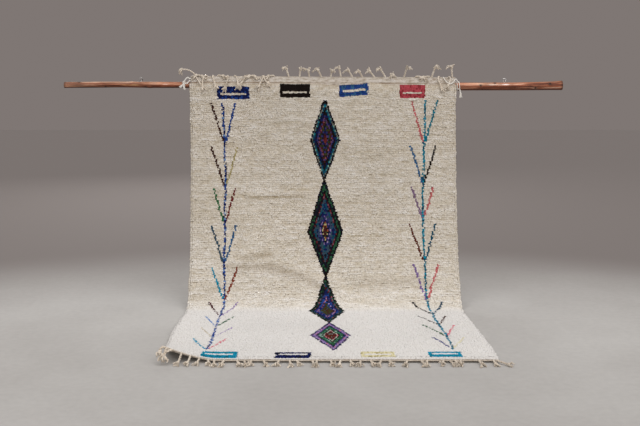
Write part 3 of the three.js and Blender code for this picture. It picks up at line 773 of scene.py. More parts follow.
def make_ground(look):
    """The woven cloth under the pile, with its ribbed end bands."""
    columns = GROUND_COLUMNS
    inner = np.arange(BAND_DEPTH + 0.012, RUG_LENGTH - BAND_DEPTH - 0.008, GROUND_STEP)
    band = np.arange(0, BAND_DEPTH + 0.001, BAND_STEP)
    rows = np.concatenate([band, [BAND_DEPTH + 0.004], inner, [RUG_LENGTH - BAND_DEPTH - 0.004],
                           RUG_LENGTH - band[::-1]])
    along, across = np.meshgrid(rows, np.linspace(0, 1, columns + 1), indexing="ij")
    x = at_across(across, along)
    from_end = np.minimum(along, RUG_LENGTH - along)
    rib = 0.0008 * np.cos(TURN * from_end / RIB_PITCH) + 0.0015 * soft_noise(x / 0.034, along / 0.010, 3)
    groove = 0.0022 * np.exp(-((from_end - GROOVE_PLACE) / 0.0028) ** 2)
    lip = FRONT_LIFT * np.exp(-((RUG_LENGTH - along) / LIP_REACH) ** 2)
    in_band = from_end < BAND_DEPTH + 0.001
    top = np.where(in_band, BAND_THICK - 0.0005 + rib - groove, GROUND_THICK) + lip * 0.8
    points = np.concatenate([on_rug(x, along, lip).reshape(-1, 3), on_rug(x, along, top).reshape(-1, 3)])
    places = np.tile(np.stack([x.ravel(), along.ravel()], -1), (2, 1))
    wide = columns + 1
    long = len(rows)
    size = wide * long
    row = np.arange(long - 1)[:, None] * wide
    col = np.arange(columns)[None]
    low = np.stack([row + col, row + col + wide, row + col + wide + 1, row + col + 1], -1).reshape(-1, 4)
    around = np.concatenate([
        np.arange(columns), np.arange(long - 1) * wide + columns,
        (size - 1) - np.arange(columns), (long - 1 - np.arange(long - 1)) * wide,
    ])
    after = np.roll(around, -1)
    rim = np.stack([around, after, after + size, around + size], -1)
    faces = [low[:, ::-1], low + size, rim[:, ::-1]]
    return add_piece("rug_ground", points, faces, [look], ("rug",), places=places)


def rug_points(corners):
    """Points of many forms, from x, along and height of each form's first corner, second corner and so on."""
    x, along, height = np.array(corners).transpose(2, 0, 1).reshape(-1, 3).T
    return on_rug(x, along, height)


def repeated(faces, corners, count):
    """The faces of one form, for each of many whose corners follow one another."""
    faces = np.array(faces)
    return (np.arange(count)[:, None, None] * corners + faces[None]).reshape(-1, faces.shape[1])


def tuft_colours(knots, hanging, streak, fine, draw):
    """Wool by tuft: tinted warmer where the pile hangs and whiter where it lies, as painted light; darker and
    warmer streaks where it hangs, partly random tone and partly painted light and shade that follow the rows'
    height; partings painted darker and warmer as shade; and painted shade below the folds.
    """
    x, along = knots.x, knots.along
    count = len(x)
    blotch = soft_noise(x / 0.30, along / 0.22, 22)
    # Painted light: the tone where the pile hangs differs from where it lies, and the streaks lighten it
    # where the rows stand higher.
    tone = 0.937 + (0.122 + 0.100 * streak + 0.080 * fine) * hanging + 0.030 * blotch
    tone += draw.uniform(-0.045, 0.045, count) * (0.5 + 0.5 * hanging)
    tone *= 0.968 + 0.052 * fade(0.0, 1.2, along)
    warm = 0.50 + 0.10 * soft_noise(x / 0.16, knots.row * 0.9, 24) + 0.12 * draw.uniform(-1, 1, count)
    warm -= 0.55 * streak + 0.40 * fine
    for place, left, right, strength in PARTINGS:
        apart = along - place - 0.006 * soft_noise(x / 0.07, np.zeros(count) + 3, 28)
        ends = fade(right - 0.04, right, x) * (1 - fade(left, left + 0.06, x))
        # Painted shade along each parting, darker and warmer.
        parting_shade = strength * ends * np.exp(-(apart / 0.0055) ** 2)
        tone *= 1 - 0.8 * parting_shade
        warm += 5 * parting_shade
    # Painted light: warmer where the pile hangs, whiter where it lies.
    warm = warm * hanging - 0.4 * (1 - hanging)
    warmth = np.where((knots.wools == "cream")[:, None], 1 - warm[:, None] * np.array((0.0, 0.036, 0.112)), 1)
    # Painted shade below each fold's ridge.
    fold_shade = np.maximum(fold_height(x, along - 0.014), 0)[:, None] * np.array((10.0, 11.5, 13.5))
    return np.array([WOOLS[name] for name in knots.wools]) * tone[:, None] * warmth * (1 - fold_shade)


def make_pile(look, knots):
    """Knotted tufts in rows, each a soft lock that leans down the rug and covers the root of the next."""
    draw = np.random.default_rng(17)
    x, along, row = knots.x, knots.along, knots.row
    count = len(x)
    plain = knots.wools == "cream"
    hanging = fade(HANG_UNTIL, LYING_FROM, along)
    streak = 0.65 * soft_noise(x / 0.17, row * 0.83, 21) + 0.60 * soft_noise(x / 0.042, row + 0.5, 26)
    fine = soft_noise(x / 0.015 + row * 0.35, row, 27)
    ragged = soft_noise(x / 0.045, row * 0.71, 23)
    base = tuft_colours(knots, hanging, streak, fine, draw)

    loose = np.where(plain, 1, 0.3)
    from_side = np.minimum(knots.column, COLUMNS - 1 - knots.column)
    from_end = np.minimum(row, row.max() - row)
    slant = np.sin(np.clip((SLANT_X - x) / SLANT_REACH, -1, 1) * math.pi)
    slant *= np.exp(-((along - 0.075) / 0.07) ** 2)
    along = along + SLANT_RISE * slant + 0.0016 * ragged * hanging
    along += draw.uniform(-0.0013, 0.0013, count) * loose
    shift = draw.uniform(-0.0038, 0.0038, row.max() + 1)[row] * (1.25 - 0.35 * hanging)
    shift *= np.where(from_side < 1, 0.2, 1) * np.where(plain, 1, 0.12)
    x = x + shift + draw.uniform(-0.0024, 0.0024, count) * loose * (1 - 0.45 * hanging)
    height = 1 + (0.05 * fine + 0.08 * streak) * hanging + draw.uniform(-0.09, 0.03, count)
    height *= PILE_HEIGHT * np.where(from_side == 0, 0.66, 1)
    height *= np.where(from_end == 0, 0.55, np.where(from_end == 1, 0.8, 1))
    lean = (HANGING_LEAN * hanging + LYING_LEAN * (1 - hanging)) * (1 + draw.uniform(-0.2, 0.2, count))
    lean = np.minimum(lean, 0.004 + (RUG_LENGTH - BAND_DEPTH - along) * 0.7)
    outward = np.where(from_side == 0, 0.0028, np.where(from_side == 1, 0.0010, 0))
    sway = 0.0022 * soft_noise(x / 0.05, along / 0.06, 25) + draw.uniform(-0.0016, 0.0016, count)
    sway += outward * np.where(knots.column < COLUMNS / 2, -1, 1)

    def between(lying, hung):
        return lying + (hung - lying) * hanging

    turn = draw.uniform(0, TURN / 4, count)
    broader = knots.wide * (1 + (0.35 - 0.23 * hanging) * plain)
    # Painted shade and highlight: the rings' lightness applies in full to coloured tufts and to plain ones
    # where they hang, and only a tenth of it where plain pile lies.
    shade = np.where(plain, 0.10 + 0.90 * hanging, 1)[:, None]
    corners = []
    tints = []
    for leans, heights, half_wide, half_deep, light, slope in TUFT_RINGS:
        run = unit(np.array((slope[0] * HANGING_LEAN, slope[1] * PILE_HEIGHT)))
        for k in range(4):
            angle = turn + k * TURN / 4
            aside = np.cos(angle) * half_wide * broader * (1 + draw.uniform(-0.12, 0.12, count))
            deep = np.sin(angle) * half_deep
            corners.append((
                x + sway * between(*heights) + aside,
                along + lean * between(*leans) - run[1] * deep,
                np.maximum(height * between(*heights) + run[0] * deep, 0.0012),
            ))
            tints.append(base * (1 - (1 - np.array(light)) * shade))
    # The tip's tint carries a painted highlight.
    corners.append((x + sway * 1.3, along + lean * between(*TIP_LEANS), height * between(*TIP_HEIGHTS)))
    tints.append(base * TIP_HIGHLIGHT)
    points = rug_points(corners)
    tints = np.array(tints).transpose(1, 0, 2).reshape(-1, 3)

    per_tuft = len(corners)
    quads = wall((0, 4), (4, 8), 4)
    fans = fan(8, 12, 4)
    pieces = []
    for part in range(PILE_PIECES):
        chosen = np.flatnonzero((row * PILE_PIECES) // (row.max() + 1) == part)
        keep = (chosen[:, None] * per_tuft + np.arange(per_tuft)).ravel()
        faces = [repeated(form, per_tuft, len(chosen)) for form in (quads, fans)]
        name = f"pile_{part + 1}"
        pieces.append(add_piece(name, points[keep], faces, [look], tints=tints[keep]))
    return pieces


def make_knot_backs(look, knots):
    """The coloured knots as they show on the rug's back: small flat beads."""
    chosen = (knots.wools != "cream") & (knots.along < LYING_FROM)
    x = knots.x[chosen]
    along = knots.along[chosen]
    base = np.array([WOOLS[name] for name in knots.wools[chosen]]) * 0.85
    points = rug_points([
        (x + wide * across, along + long * down, np.full(len(x), height))
        for wide, long, height in ((0.0044, 0.0049, 0.0006), (0.0026, 0.0030, -0.0009))
        for across, down in ((-1, -1), (1, -1), (1, 1), (-1, 1))
    ])
    faces = [repeated([(4, 5, 6, 7), (3, 2, 1, 0), *wall([0], [4], 4)], 8, len(x))]
    return add_piece("knot_backs", points, faces, [look], tints=np.repeat(base, 8, axis=0))


# Fringe

# Upright locks on the top edge: x, lean and height
UPRIGHT_LOCKS = (
    (-0.179, -0.021, 0.058), (-0.118, 0.008, 0.058), (-0.061, -0.010, 0.052),
    (0.009, -0.030, 0.052), (0.061, 0.010, 0.047), (0.121, -0.016, 0.064), (0.188, -0.034, 0.048),
    (0.245, -0.028, 0.042), (0.315, -0.040, 0.044), (0.378, -0.038, 0.055), (0.440, -0.030, 0.020),
    (0.482, 0.022, 0.064), (0.641, 0.027, 0.068), (0.761, -0.008, 0.076),
)

# Locks that fall forward over the top edge: x, lean, drop and bow
FALLEN_LOCKS = (
    (-0.650, -0.022, 0.084, -0.012), (-0.612, 0.020, 0.070, -0.008), (-0.536, -0.012, 0.086, 0.010),
    (-0.494, 0.026, 0.070, 0.007), (-0.436, -0.030, 0.066, 0.012), (-0.335, -0.024, 0.074, 0.013),
    (-0.318, 0.028, 0.056, -0.010), (0.690, 0.014, 0.080, -0.014), (0.735, -0.008, 0.070, 0.014),
)

# Locks that lie along the top edge: x of the root and run to the side
EDGE_LOCKS = (
    (-0.722, 0.062), (-0.690, -0.040), (-0.590, 0.052), (-0.425, 0.070), (-0.372, -0.056), (-0.262, -0.054),
    (0.548, 0.062), (0.634, -0.058),
)

# The long lock at the left corner: x, along and height above the cloth
CORNER_LOCK = (
    (-0.676, 0.060, 0.016), (-0.686, 0.044, 0.018), (-0.708, 0.012, 0.014), (-0.724, -0.016, 0.010),
    (-0.752, -0.036, 0.010), (-0.782, -0.042, 0.012), (-0.806, -0.034, 0.014), (-0.814, -0.016, 0.014),
)

# Locks on the front edge: x, lean and reach
LYING_LOCKS = (
    (-0.643, -0.024, 0.070), (-0.601, -0.020, 0.068),
    (-0.559, -0.018, 0.064), (-0.520, 0.012, 0.072), (-0.492, 0.008, 0.084), (-0.446, -0.014, 0.090),
    (-0.385, 0.016, 0.078), (-0.352, 0.014, 0.086), (-0.318, -0.008, 0.070), (-0.262, 0.018, 0.082),
    (-0.190, -0.014, 0.076), (-0.141, 0.010, 0.088), (-0.108, 0.022, 0.072), (-0.036, 0.014, 0.084),
    (-0.014, -0.008, 0.092), (0.050, 0.012, 0.078), (0.096, -0.012, 0.086), (0.140, 0.016, 0.072),
    (0.190, -0.010, 0.084), (0.236, 0.014, 0.078), (0.284, -0.016, 0.086), (0.322, 0.012, 0.074),
    (0.405, -0.014, 0.084), (0.470, 0.018, 0.078), (0.498, -0.012, 0.088), (0.572, -0.008, 0.074),
    (0.604, 0.020, 0.084), (0.628, 0.014, 0.066), (0.654, -0.008, 0.080), (0.738, 0.014, 0.084),
    (0.806, 0.010, 0.076), (0.824, 0.062, 0.078),
)

# Locks that fall off the raised corner: x of the root, then steps to the side, forward and up
CORNER_FRONT_LOCKS = (
    (-0.716, (-0.012, -0.004, 0.005), (-0.022, -0.012, -0.002), (-0.027, -0.018, -0.022),
     (-0.024, -0.022, -0.042)),
    (-0.706, (-0.005, -0.012, 0.003), (-0.010, -0.026, -0.010), (-0.014, -0.036, -0.032),
     (-0.010, -0.046, -0.050)),
    (-0.686, (-0.012, -0.010, 0.002), (-0.032, -0.022, -0.008), (-0.046, -0.034, -0.026),
     (-0.048, -0.040, -0.044)),
)

STRIP_MIDDLE = 0.0025
CORD_RADIUS = 0.0046
CORD_STEP = 0.0022
FRONT_CORD = 0.0055
KNOT_LENGTH = 0.009
KNOT_YARN = 0.0042
KNOT_CORE = 0.0052
LOCK_TINT = np.array((1.0, 0.985, 0.955))

# The brush of a lock: strands, threads in each, a thread's radii at its root and its tip, and how low it lies
STRANDS = 7
THREADS = 4
THREAD_RADII = (0.0030, 0.0017)
LOWEST_THREAD = 0.0022


def edge_cord(batch, along, height, radius):
    """The twined cord that binds the warps at an end of the cloth."""
    path = on_rug(at_across(np.linspace(0, 1, 380), along), along, height)
    twisted(batch, path, radius, (0.90, 0.88, 0.85), pitch=5.0, sides=5)


def lock(batch, path, draw, spread=0.013, fall=0.0, floor=False, light=1.0, radius=CORD_RADIUS, brush=0.025):
    """A cord, an overhand knot and a brush of loose strands below it."""
    steps = 60
    line = smooth_path(path, steps)
    side, up = carried_frames(line)
    step = np.linalg.norm(line[1] - line[0])
    knot_end = steps - int(brush / step)
    cord_end = knot_end - max(2, int(KNOT_LENGTH / step))
    # light lightens the whole lock's colour: partly the paler yarn of these locks, partly painted light that
    # offsets the shade among the dense threads of its brush.
    tint = LOCK_TINT * draw.uniform(0.90, 1.04) * light

    def on_floor(points, height, lift=0.0):
        """The points, lifted and none lower than a height, where the lock lies on the floor."""
        if floor:
            points[:, 2] = np.maximum(points[:, 2] + lift, height)
        return points

    cord = on_floor(line[:cord_end + 1].copy(), radius)
    twisted(batch, cord[::max(1, round(CORD_STEP / step))], radius, tint)

    share = np.linspace(0, 1, 26)
    places = cord_end - 1 + share * (knot_end - cord_end + 2)
    centre = np.stack([np.interp(places, np.arange(steps + 1), line[:, k]) for k in range(3)], -1)
    angle = (share * 1.8 * TURN + draw.uniform(0, TURN))[:, None]
    wrap = (0.0056 + 0.0012 * np.sin(share * TURN * 1.5))[:, None]
    loop = centre + (side[cord_end] * np.cos(angle) + up[cord_end] * np.sin(angle)) * wrap
    batch.tube(on_floor(loop, KNOT_YARN), KNOT_YARN, 6, tint * 0.97)
    batch.tube(line[cord_end - 1:knot_end + 1], KNOT_CORE, 7, tint * 0.88)

    start = line[knot_end - 1]
    ahead = unit(line[knot_end] - line[knot_end - 2])
    drift = line[-1] - line[knot_end] - ahead * brush
    for strand in range(STRANDS):
        angle = TURN * (strand + draw.uniform(-0.35, 0.35)) / STRANDS
        out = side[knot_end] * math.cos(angle) + up[knot_end] * math.sin(angle)
        reach = spread * draw.uniform(0.45, 1.6)
        run = (brush + 0.002) * draw.uniform(0.40, 1.05)
        curl = draw.uniform(-1, 1, 3) * 0.005
        strand_tint = tint * draw.uniform(0.80, 1.16)
        for _ in range(THREADS):
            loose = draw.uniform(-1, 1, 3) * 0.0018
            end = run * draw.uniform(0.85, 1.1)
            stations = start + np.array([
                out * 0.0020,
                ahead * run * 0.30 + out * reach * 0.60 + drift * 0.1 + loose * 0.5,
                ahead * run * 0.68 + out * reach * 0.95 + drift * 0.4 + loose + curl,
                ahead * end + out * reach * 1.15 + drift * 0.8 + loose * 1.8,
            ])
            stations[2:, 2] -= fall * np.array((0.3, 1.0)) * draw.uniform(0.6, 1.1)
            stations = on_floor(stations, LOWEST_THREAD, np.array((0.0, 0.003, 0.003, -0.002)))
            thread_tint = strand_tint * draw.uniform(0.94, 1.06)
            batch.tube(smooth_path(stations, 5), np.linspace(*THREAD_RADII, 6), 4, thread_tint)


def make_top_fringe(look):
    draw = np.random.default_rng(41)
    batch = Batch()
    edge_cord(batch, -0.0030, STRIP_MIDDLE, 0.0030)
    for x, lean, height in UPRIGHT_LOCKS:
        droop = math.copysign(0.009, lean)
        path = on_rug(x, -0.002, STRIP_MIDDLE) + np.array([
            (0, 0, 0), (lean * 0.35, -0.001, height * 0.40), (lean * 0.74, -0.002, height * 0.80),
            (lean + droop * 0.4, -0.004, height * 1.02), (lean + droop * 1.2, -0.006, height * 1.02),
        ])
        lock(batch, path, draw, spread=0.0150, fall=0.010, radius=0.0056, light=1.04, brush=0.019)
    for x, lean, drop, bow in FALLEN_LOCKS:
        share, aside, along, height = np.array((
            (0.0, 0.0, -0.0024, STRIP_MIDDLE), (0.0, 0.2, -0.0055, STRIP_MIDDLE + 0.003),
            (0.05, 0.6, -0.0050, 0.012), (0.2, 1.0, 0.004, 0.015), (0.5, 1.0, 0.024, 0.015),
            (0.8, 0.4, drop * 0.68, 0.024), (1.0, -0.2, drop + 0.004, 0.026),
        )).T
        path = on_rug(x + lean * share + bow * aside, along, height)
        lock(batch, path, draw, spread=0.012, fall=0.002, light=1.12)
    for x, run in EDGE_LOCKS:
        share, along, height = np.array((
            (0.0, -0.0024, STRIP_MIDDLE), (0.03, -0.0070, STRIP_MIDDLE + 0.003), (0.3, -0.0075, 0.011),
            (0.6, -0.0020, 0.013), (0.85, 0.006, 0.013), (1.1, 0.016, 0.011),
        )).T
        lock(batch, on_rug(x + run * share, along, height), draw, spread=0.007, light=1.08)
    lock(batch, on_rug(*np.array(CORNER_LOCK).T), draw, spread=0.010, fall=0.003, light=1.12)
    return batch.piece("fringe_top_locks", look, "fringe_yarn", ("fringe_top",))


def make_front_fringe(look):
    draw = np.random.default_rng(43)
    batch = Batch()
    edge_cord(batch, RUG_LENGTH + 0.0030, FRONT_LIFT + 0.0034, 0.0028)
    share = np.linspace(0, 1, 9)
    bushy = 0.004 * np.sin(np.clip(share * 1.4 - 0.2, 0, 1) * math.pi)
    for x, lean, reach in LYING_LOCKS:
        root = on_rug(x, RUG_LENGTH + 0.002, FRONT_LIFT)
        raised = root[2] * np.maximum(0, 1 - share / 0.7) ** 1.5
        sway = lean * share**2 + np.sin(share * math.pi) * lean * 0.2
        path = np.stack([root[0] + sway, root[1] - reach * 0.90 * share, raised + bushy + FRONT_CORD], -1)
        lock(batch, path, draw, spread=0.0115, floor=True, light=1.06, radius=FRONT_CORD, brush=0.021)
    for x, *steps in CORNER_FRONT_LOCKS:
        path = on_rug(x, RUG_LENGTH + 0.002, FRONT_LIFT) + np.array([(0, 0, 0), *steps])
        path[:, 2] = np.maximum(path[:, 2], 0.006)
        lock(batch, path, draw, floor=True, light=1.12, radius=FRONT_CORD * 1.15)
    return batch.piece("fringe_front_locks", look, "fringe_yarn", ("fringe_front",))


# Ties and lashing

# Radii of the yarns
RING_YARN = 0.0030
LEFT_YARN = 0.0041
RIGHT_YARN = 0.0033
TASSEL_YARN = 0.0031
TASSEL_THREAD = 0.0018
LASHING_THREAD = 0.0011

LEFT_TIE_X = -0.784

# The strand that lies over the right corner: x, along and height above the cloth
RIGHT_STRAND = (
    (0.709, -0.004, 0.010), (0.716, 0.014, 0.015), (0.732, 0.034, 0.020), (0.752, 0.038, 0.020),
    (0.768, 0.024, 0.014), (0.777, 0.010, 0.012),
)


def pole_ring(batch, x):
    """Yarn wrapped once round the pole."""
    turn = np.linspace(0, TURN, 64, endpoint=False)
    away = np.stack([0 * turn, -np.cos(turn), np.sin(turn)], -1)
    path = round_pole(x, pole_at(x, 3) + RING_YARN + 0.0006, turn)
    path[:, 0] += 0.0012 * np.sin(turn * 2 + x * 90)
    for start in (0, math.pi):
        angle = (turn * 9 + start)[:, None]
        offset = (away * np.cos(angle) + np.array((1.0, 0, 0)) * np.sin(angle)) * RING_YARN * 0.46
        batch.ring(path + offset, RING_YARN * 0.54, 6, WHITE)


def tassel(batch, path, draw, spread=0.0085):
    """A yarn that opens into loose threads."""
    line = smooth_path(path, 24)
    side, up = carried_frames(line)
    split = 9
    threads = 16
    twisted(batch, line[:split + 1], TASSEL_YARN)
    opened = line[split - 1:]
    share = np.linspace(0, 1, len(opened))[:, None]
    for thread in range(threads):
        angle = TURN * thread / threads + draw.uniform(-0.2, 0.2)
        reach = spread * draw.uniform(0.25, 1.05)
        last = int(len(share) * draw.uniform(0.78, 1.0))
        out = side[split] * math.cos(angle) + up[split] * math.sin(angle) * 0.5
        path_out = opened + out * (0.0012 + reach * share ** 1.2)
        path_out += draw.uniform(-1, 1, 3) * 0.002 * np.sin(share * math.pi * 1.5)
        batch.tube(path_out[:max(last, 4):2], TASSEL_THREAD, 4, draw.uniform(0.92, 1.05))


def lumpy_knot(batch, centre, radius, draw):
    """A tight knot: short loops of yarn drawn over one another."""
    angle = np.linspace(0, TURN, 22, endpoint=False)[:, None]
    for _ in range(4):
        axis = unit(draw.normal(size=3))
        side = unit(np.cross(axis, (0.3, 0.9, 0.2)))
        up = np.cross(axis, side)
        path = centre + (side * np.cos(angle) + up * np.sin(angle) * 0.8) * radius * 0.62
        batch.ring(path, radius * 0.36, 6, draw.uniform(0.94, 1.02))


def make_left_tie(look):
    draw = np.random.default_rng(51)
    batch = Batch()
    corner = on_rug(side_edge(0.014, 1), 0.014, BAND_THICK / 2)
    x = LEFT_TIE_X
    knot = round_pole(x, pole_at(x, 3) + 0.004, 0) + (0, 0, 0.016)
    pole_ring(batch, x)
    pole_ring(batch, x + 0.0064)
    lumpy_knot(batch, knot + (0, 0.004, 0), 0.0082, draw)
    runs = (
        (corner + (0.004, 0, 0.002), corner + (-0.006, 0, 0.0025), corner + (-0.016, -0.003, 0.009),
         knot + (0, 0.004, 0.003)),
        (corner + (0.004, -0.002, -0.010), corner + (-0.006, -0.002, -0.010),
         (corner[0] - 0.018, knot[1] - 0.001, knot[2] - 0.005), knot + (0, 0.003, -0.003)),
    )
    for run in runs:
        twisted(batch, smooth_path(run, 24), LEFT_YARN)
    for steps in (((-0.010, -0.003, -0.020), (-0.024, -0.003, -0.032)),
                  ((0.001, -0.004, -0.024), (0.005, -0.002, -0.046))):
        tassel(batch, knot + np.array(((0, 0.003, -0.002), *steps)), draw)
    batch.piece("tie_left_yarn", look, "tie_yarn", ("tie_left",))


def make_right_tie(look):
    draw = np.random.default_rng(53)
    batch = Batch()
    corner = on_rug(side_edge(0.010, 2), 0.010, BAND_THICK / 2)
    inner = corner[0] + 0.009
    outer = corner[0] + 0.023
    ring = round_pole(outer, pole_at(outer, 3) + 0.003, 0)
    top = round_pole(outer, pole_at(outer, 3), TURN / 4)
    pole_ring(batch, inner)
    pole_ring(batch, outer)
    runs = (
        (corner + (-0.004, 0, 0.003), corner + (0.005, 0, 0.0035),
         (corner[0] + 0.011, corner[1] - 0.003, top[2] + 0.009), top + (0, -0.012, -0.001)),
        (ring + (inner - outer, 0.004, -0.012), ring + ((inner - outer) / 2, 0.002, -0.014),
         ring + (0, 0.004, -0.012)),
    )
    for run in runs:
        twisted(batch, smooth_path(run, 24), RIGHT_YARN)
    twisted(batch, smooth_path(on_rug(*np.array(RIGHT_STRAND).T), 36), RIGHT_YARN)
    loose = ring + np.array(((0, 0.003, -0.011), (0.005, 0.001, -0.028), (0.007, 0, -0.068)))
    tassel(batch, loose, draw, spread=0.009)
    batch.piece("tie_right_yarn", look, "tie_yarn", ("tie_right",))


LASHING_X = (-0.640, -0.455, -0.035, 0.035, 0.205, 0.400, 0.622)


def make_lashing(look):
    """Thin threads that sew the top edge to the pole."""
    batch = Batch()
    turn = np.radians(np.linspace(168, 350, 14))
    for x in LASHING_X:
        edge = on_rug(x, 0.0, 0.003)
        around = round_pole(x, pole_at(x, 3) + 0.0012, turn) + (0.001, 0, 0)
        loop = np.array([
            on_rug(x, 0.008, BAND_THICK + 0.0014), on_rug(x, 0.001, BAND_THICK + 0.002),
            edge + (0, 0.0005, 0.0036), edge + (0, 0.007, -0.004), *around, on_rug(x, 0.036, -0.001),
            on_rug(x, 0.022, -0.0012), on_rug(x, 0.010, 0.001),
        ])
        batch.tube(smooth_path(loop, 70), LASHING_THREAD, 5)
    batch.piece("lashing_thread", look, "tie_yarn")


# Pole and eyes

EYE_RADIUS = 0.0089
EYE_NECK = 0.005
EYE_WIRE = 0.0018

# Where branches were cut off: x, angle up from the front in degrees
POLE_SCARS = (
    (-1.386, 70), (-1.235, -48), (-1.038, 80), (-1.003, -50), (0.924, 14), (1.006, 48), (1.238, -22),
    (1.322, 30),
)
SCAR_REACH = 0.014
PIT_REACH = 0.0064

# Tones of the streaks along the pole, which are partly peeled wood and partly painted highlights and shade
PALE = (2.00, 3.20, 4.40)
YELLOW = (1.90, 2.90, 2.60)
LIGHT = (1.45, 1.75, 2.00)
RED = (0.70, 0.52, 0.44)
DARK = (0.52, 0.36, 0.28)

# Streaks: x from and to, angle up from the front in degrees, half width and tone. Most are strips of paler or
# darker peeled wood; some light ones high on the pole are painted highlights, and the dark one low along the
# right part is painted shade
POLE_STREAKS = (
    (-1.40, -1.20, 62, 10, LIGHT), (-1.36, -1.13, -20, 9, DARK), (-1.30, -1.16, 22, 7, RED),
    (-1.20, -1.04, 50, 9, LIGHT), (-1.16, -1.00, 16, 8, DARK), (-1.15, -1.03, -6, 7, YELLOW),
    (-1.10, -0.97, 44, 12, RED), (-1.04, -0.90, -36, 14, DARK), (-0.99, -0.85, 16, 13, LIGHT),
    (-0.91, -0.87, 6, 8, PALE), (-0.96, -0.80, -14, 10, RED), (-0.84, -0.77, -22, 10, DARK),
    (0.78, 0.95, 34, 18, LIGHT), (0.80, 0.92, -24, 10, LIGHT), (0.80, 1.04, 4, 12, RED),
    (0.96, 1.10, 28, 13, PALE), (1.04, 1.19, 33, 8, PALE), (1.02, 1.40, 2, 16, RED),
    (1.12, 1.26, -22, 9, PALE), (1.27, 1.40, -25, 8, PALE), (1.18, 1.39, 34, 12, RED),
    (1.26, 1.39, 62, 9, LIGHT), (0.80, 1.40, -44, 12, DARK),
)


def bump_at(x, angle, centre, degrees, reach, power):
    """A round bump on the pole, 1 high: the higher the power, the narrower it is round the pole."""
    toward = np.maximum(np.cos(angle - math.radians(degrees)), 0)
    return np.exp(-((x - centre) / reach) ** 2) * toward**power


def pole_tints(x, angle):
    """Tints of the wood: scars, streaks that are partly painted highlights and shade, painted light that is
    brighter on top and toward the right end, painted shade on the underside, and dark ends.
    """
    tints = np.ones((*x.shape, 3))
    for scar_x, degrees in POLE_SCARS:
        tints *= (1 - 0.94 * bump_at(x, angle, scar_x, degrees, PIT_REACH, 30))[..., None]
        tints *= (1 - 0.30 * bump_at(x, angle, scar_x, degrees, SCAR_REACH, 10))[..., None]
    # Streaks of peeled wood, some of them painted highlights and shade.
    for low, high, degrees, reach, tone in POLE_STREAKS:
        aside = np.degrees(np.abs((angle - math.radians(degrees) + math.pi) % TURN - math.pi))
        waver = 5 * soft_noise(x / 0.05, np.zeros_like(x) + degrees, 62)
        ends = fade(high - 0.03, high, x) - fade(low, low + 0.03, x)
        strength = ends * fade(reach * 0.6, reach * 1.2, aside + waver)
        tints *= 1 + (np.array(tone) - 1) * strength[..., None]
    # Painted light and shade: lighter on top and darker toward the underside.
    low_side = 0.5 - 0.5 * np.sin(angle)
    # Painted light: lighter toward the right end, as the light falls from the front right, and darker over
    # the last stretch of the left end.
    lighter_to_the_right = 1.16 - 0.24 * fade(0.5, 1.2, x) - 0.18 * fade(-1.40, -1.15, x)
    dark_end = 1 - 0.68 * (1 - fade(1.386, 1.390, x)) - 0.45 * fade(-1.471, -1.466, x)
    tints *= ((1.10 - 0.26 * low_side) * lighter_to_the_right * dark_end)[..., None]
    # Painted shade: much darker and redder along the bottom.
    underside_shade = 1 - fade(0.74, 0.95, low_side)
    return tints * (1 - underside_shade[..., None] * np.array((0.66, 0.78, 0.84)))


def make_pole(bark, end_grain):
    """The peeled pole, with its knots, its slight facets and both sawn ends."""
    sides = 48
    near_scars = [x + step for x, _ in POLE_SCARS for step in np.arange(-0.012, 0.0125, 0.002)]
    even = np.linspace(POLE[0, 0] + 0.006, POLE[-1, 0] - 0.006, 230)
    stations = np.unique(np.round([*even, *near_scars], 4))
    x, angle = np.meshgrid(stations, np.arange(sides) * TURN / sides, indexing="ij")
    facet = soft_noise(x / 0.16, np.cos(angle) * 1.7 + np.sin(angle) * 1.1 + 9, 61)
    radius = pole_at(x, 3) + 0.0002 + 0.0008 * facet
    for knot_x, degrees, rise in POLE_KNOTS:
        radius += rise * bump_at(x, angle, knot_x, degrees, KNOT_REACH, 4)
    for scar_x, degrees in POLE_SCARS:
        radius += 0.0012 * bump_at(x, angle, scar_x, degrees, SCAR_REACH, 10)
        radius -= 0.0030 * bump_at(x, angle, scar_x, degrees, PIT_REACH, 30)
    points = round_pole(x, radius, angle).reshape(-1, 3)
    tints = pole_tints(x, angle).reshape(-1, 3)
    starts = np.arange(len(stations)) * sides
    quads = [wall(starts[:-1], starts[1:], sides, flipped=True)]
    fans = []
    for end, outward in ((0, (-0.0015, 0, 0)), (-1, (0.0015, 0, 0))):
        axis = round_pole(stations[end], 0, 0)
        first = starts[end]
        base = len(points)
        inset = axis + (points[first:first + sides] - axis) * 0.93 + outward
        points = np.vstack([points, inset, axis + np.array(outward) * 0.8])
        bevel = wall([first], [base], sides)
        cap = fan(base, base + sides, sides)
        quads.append(bevel[:, ::-1] if end else bevel)
        fans.append(cap[:, ::-1] if end else cap)
    faces = [np.vstack(quads), np.vstack(fans)]
    tints = np.vstack([tints, np.ones((len(points) - len(tints), 3))])
    places = points[:, 1:] - (0.88, 1.2345)
    kinds = np.repeat((0, 1), [len(block) for block in faces])
    looks = [bark, end_grain]
    add_piece("pole_wood", points, faces, looks, ("pole",), tints, places, kinds)


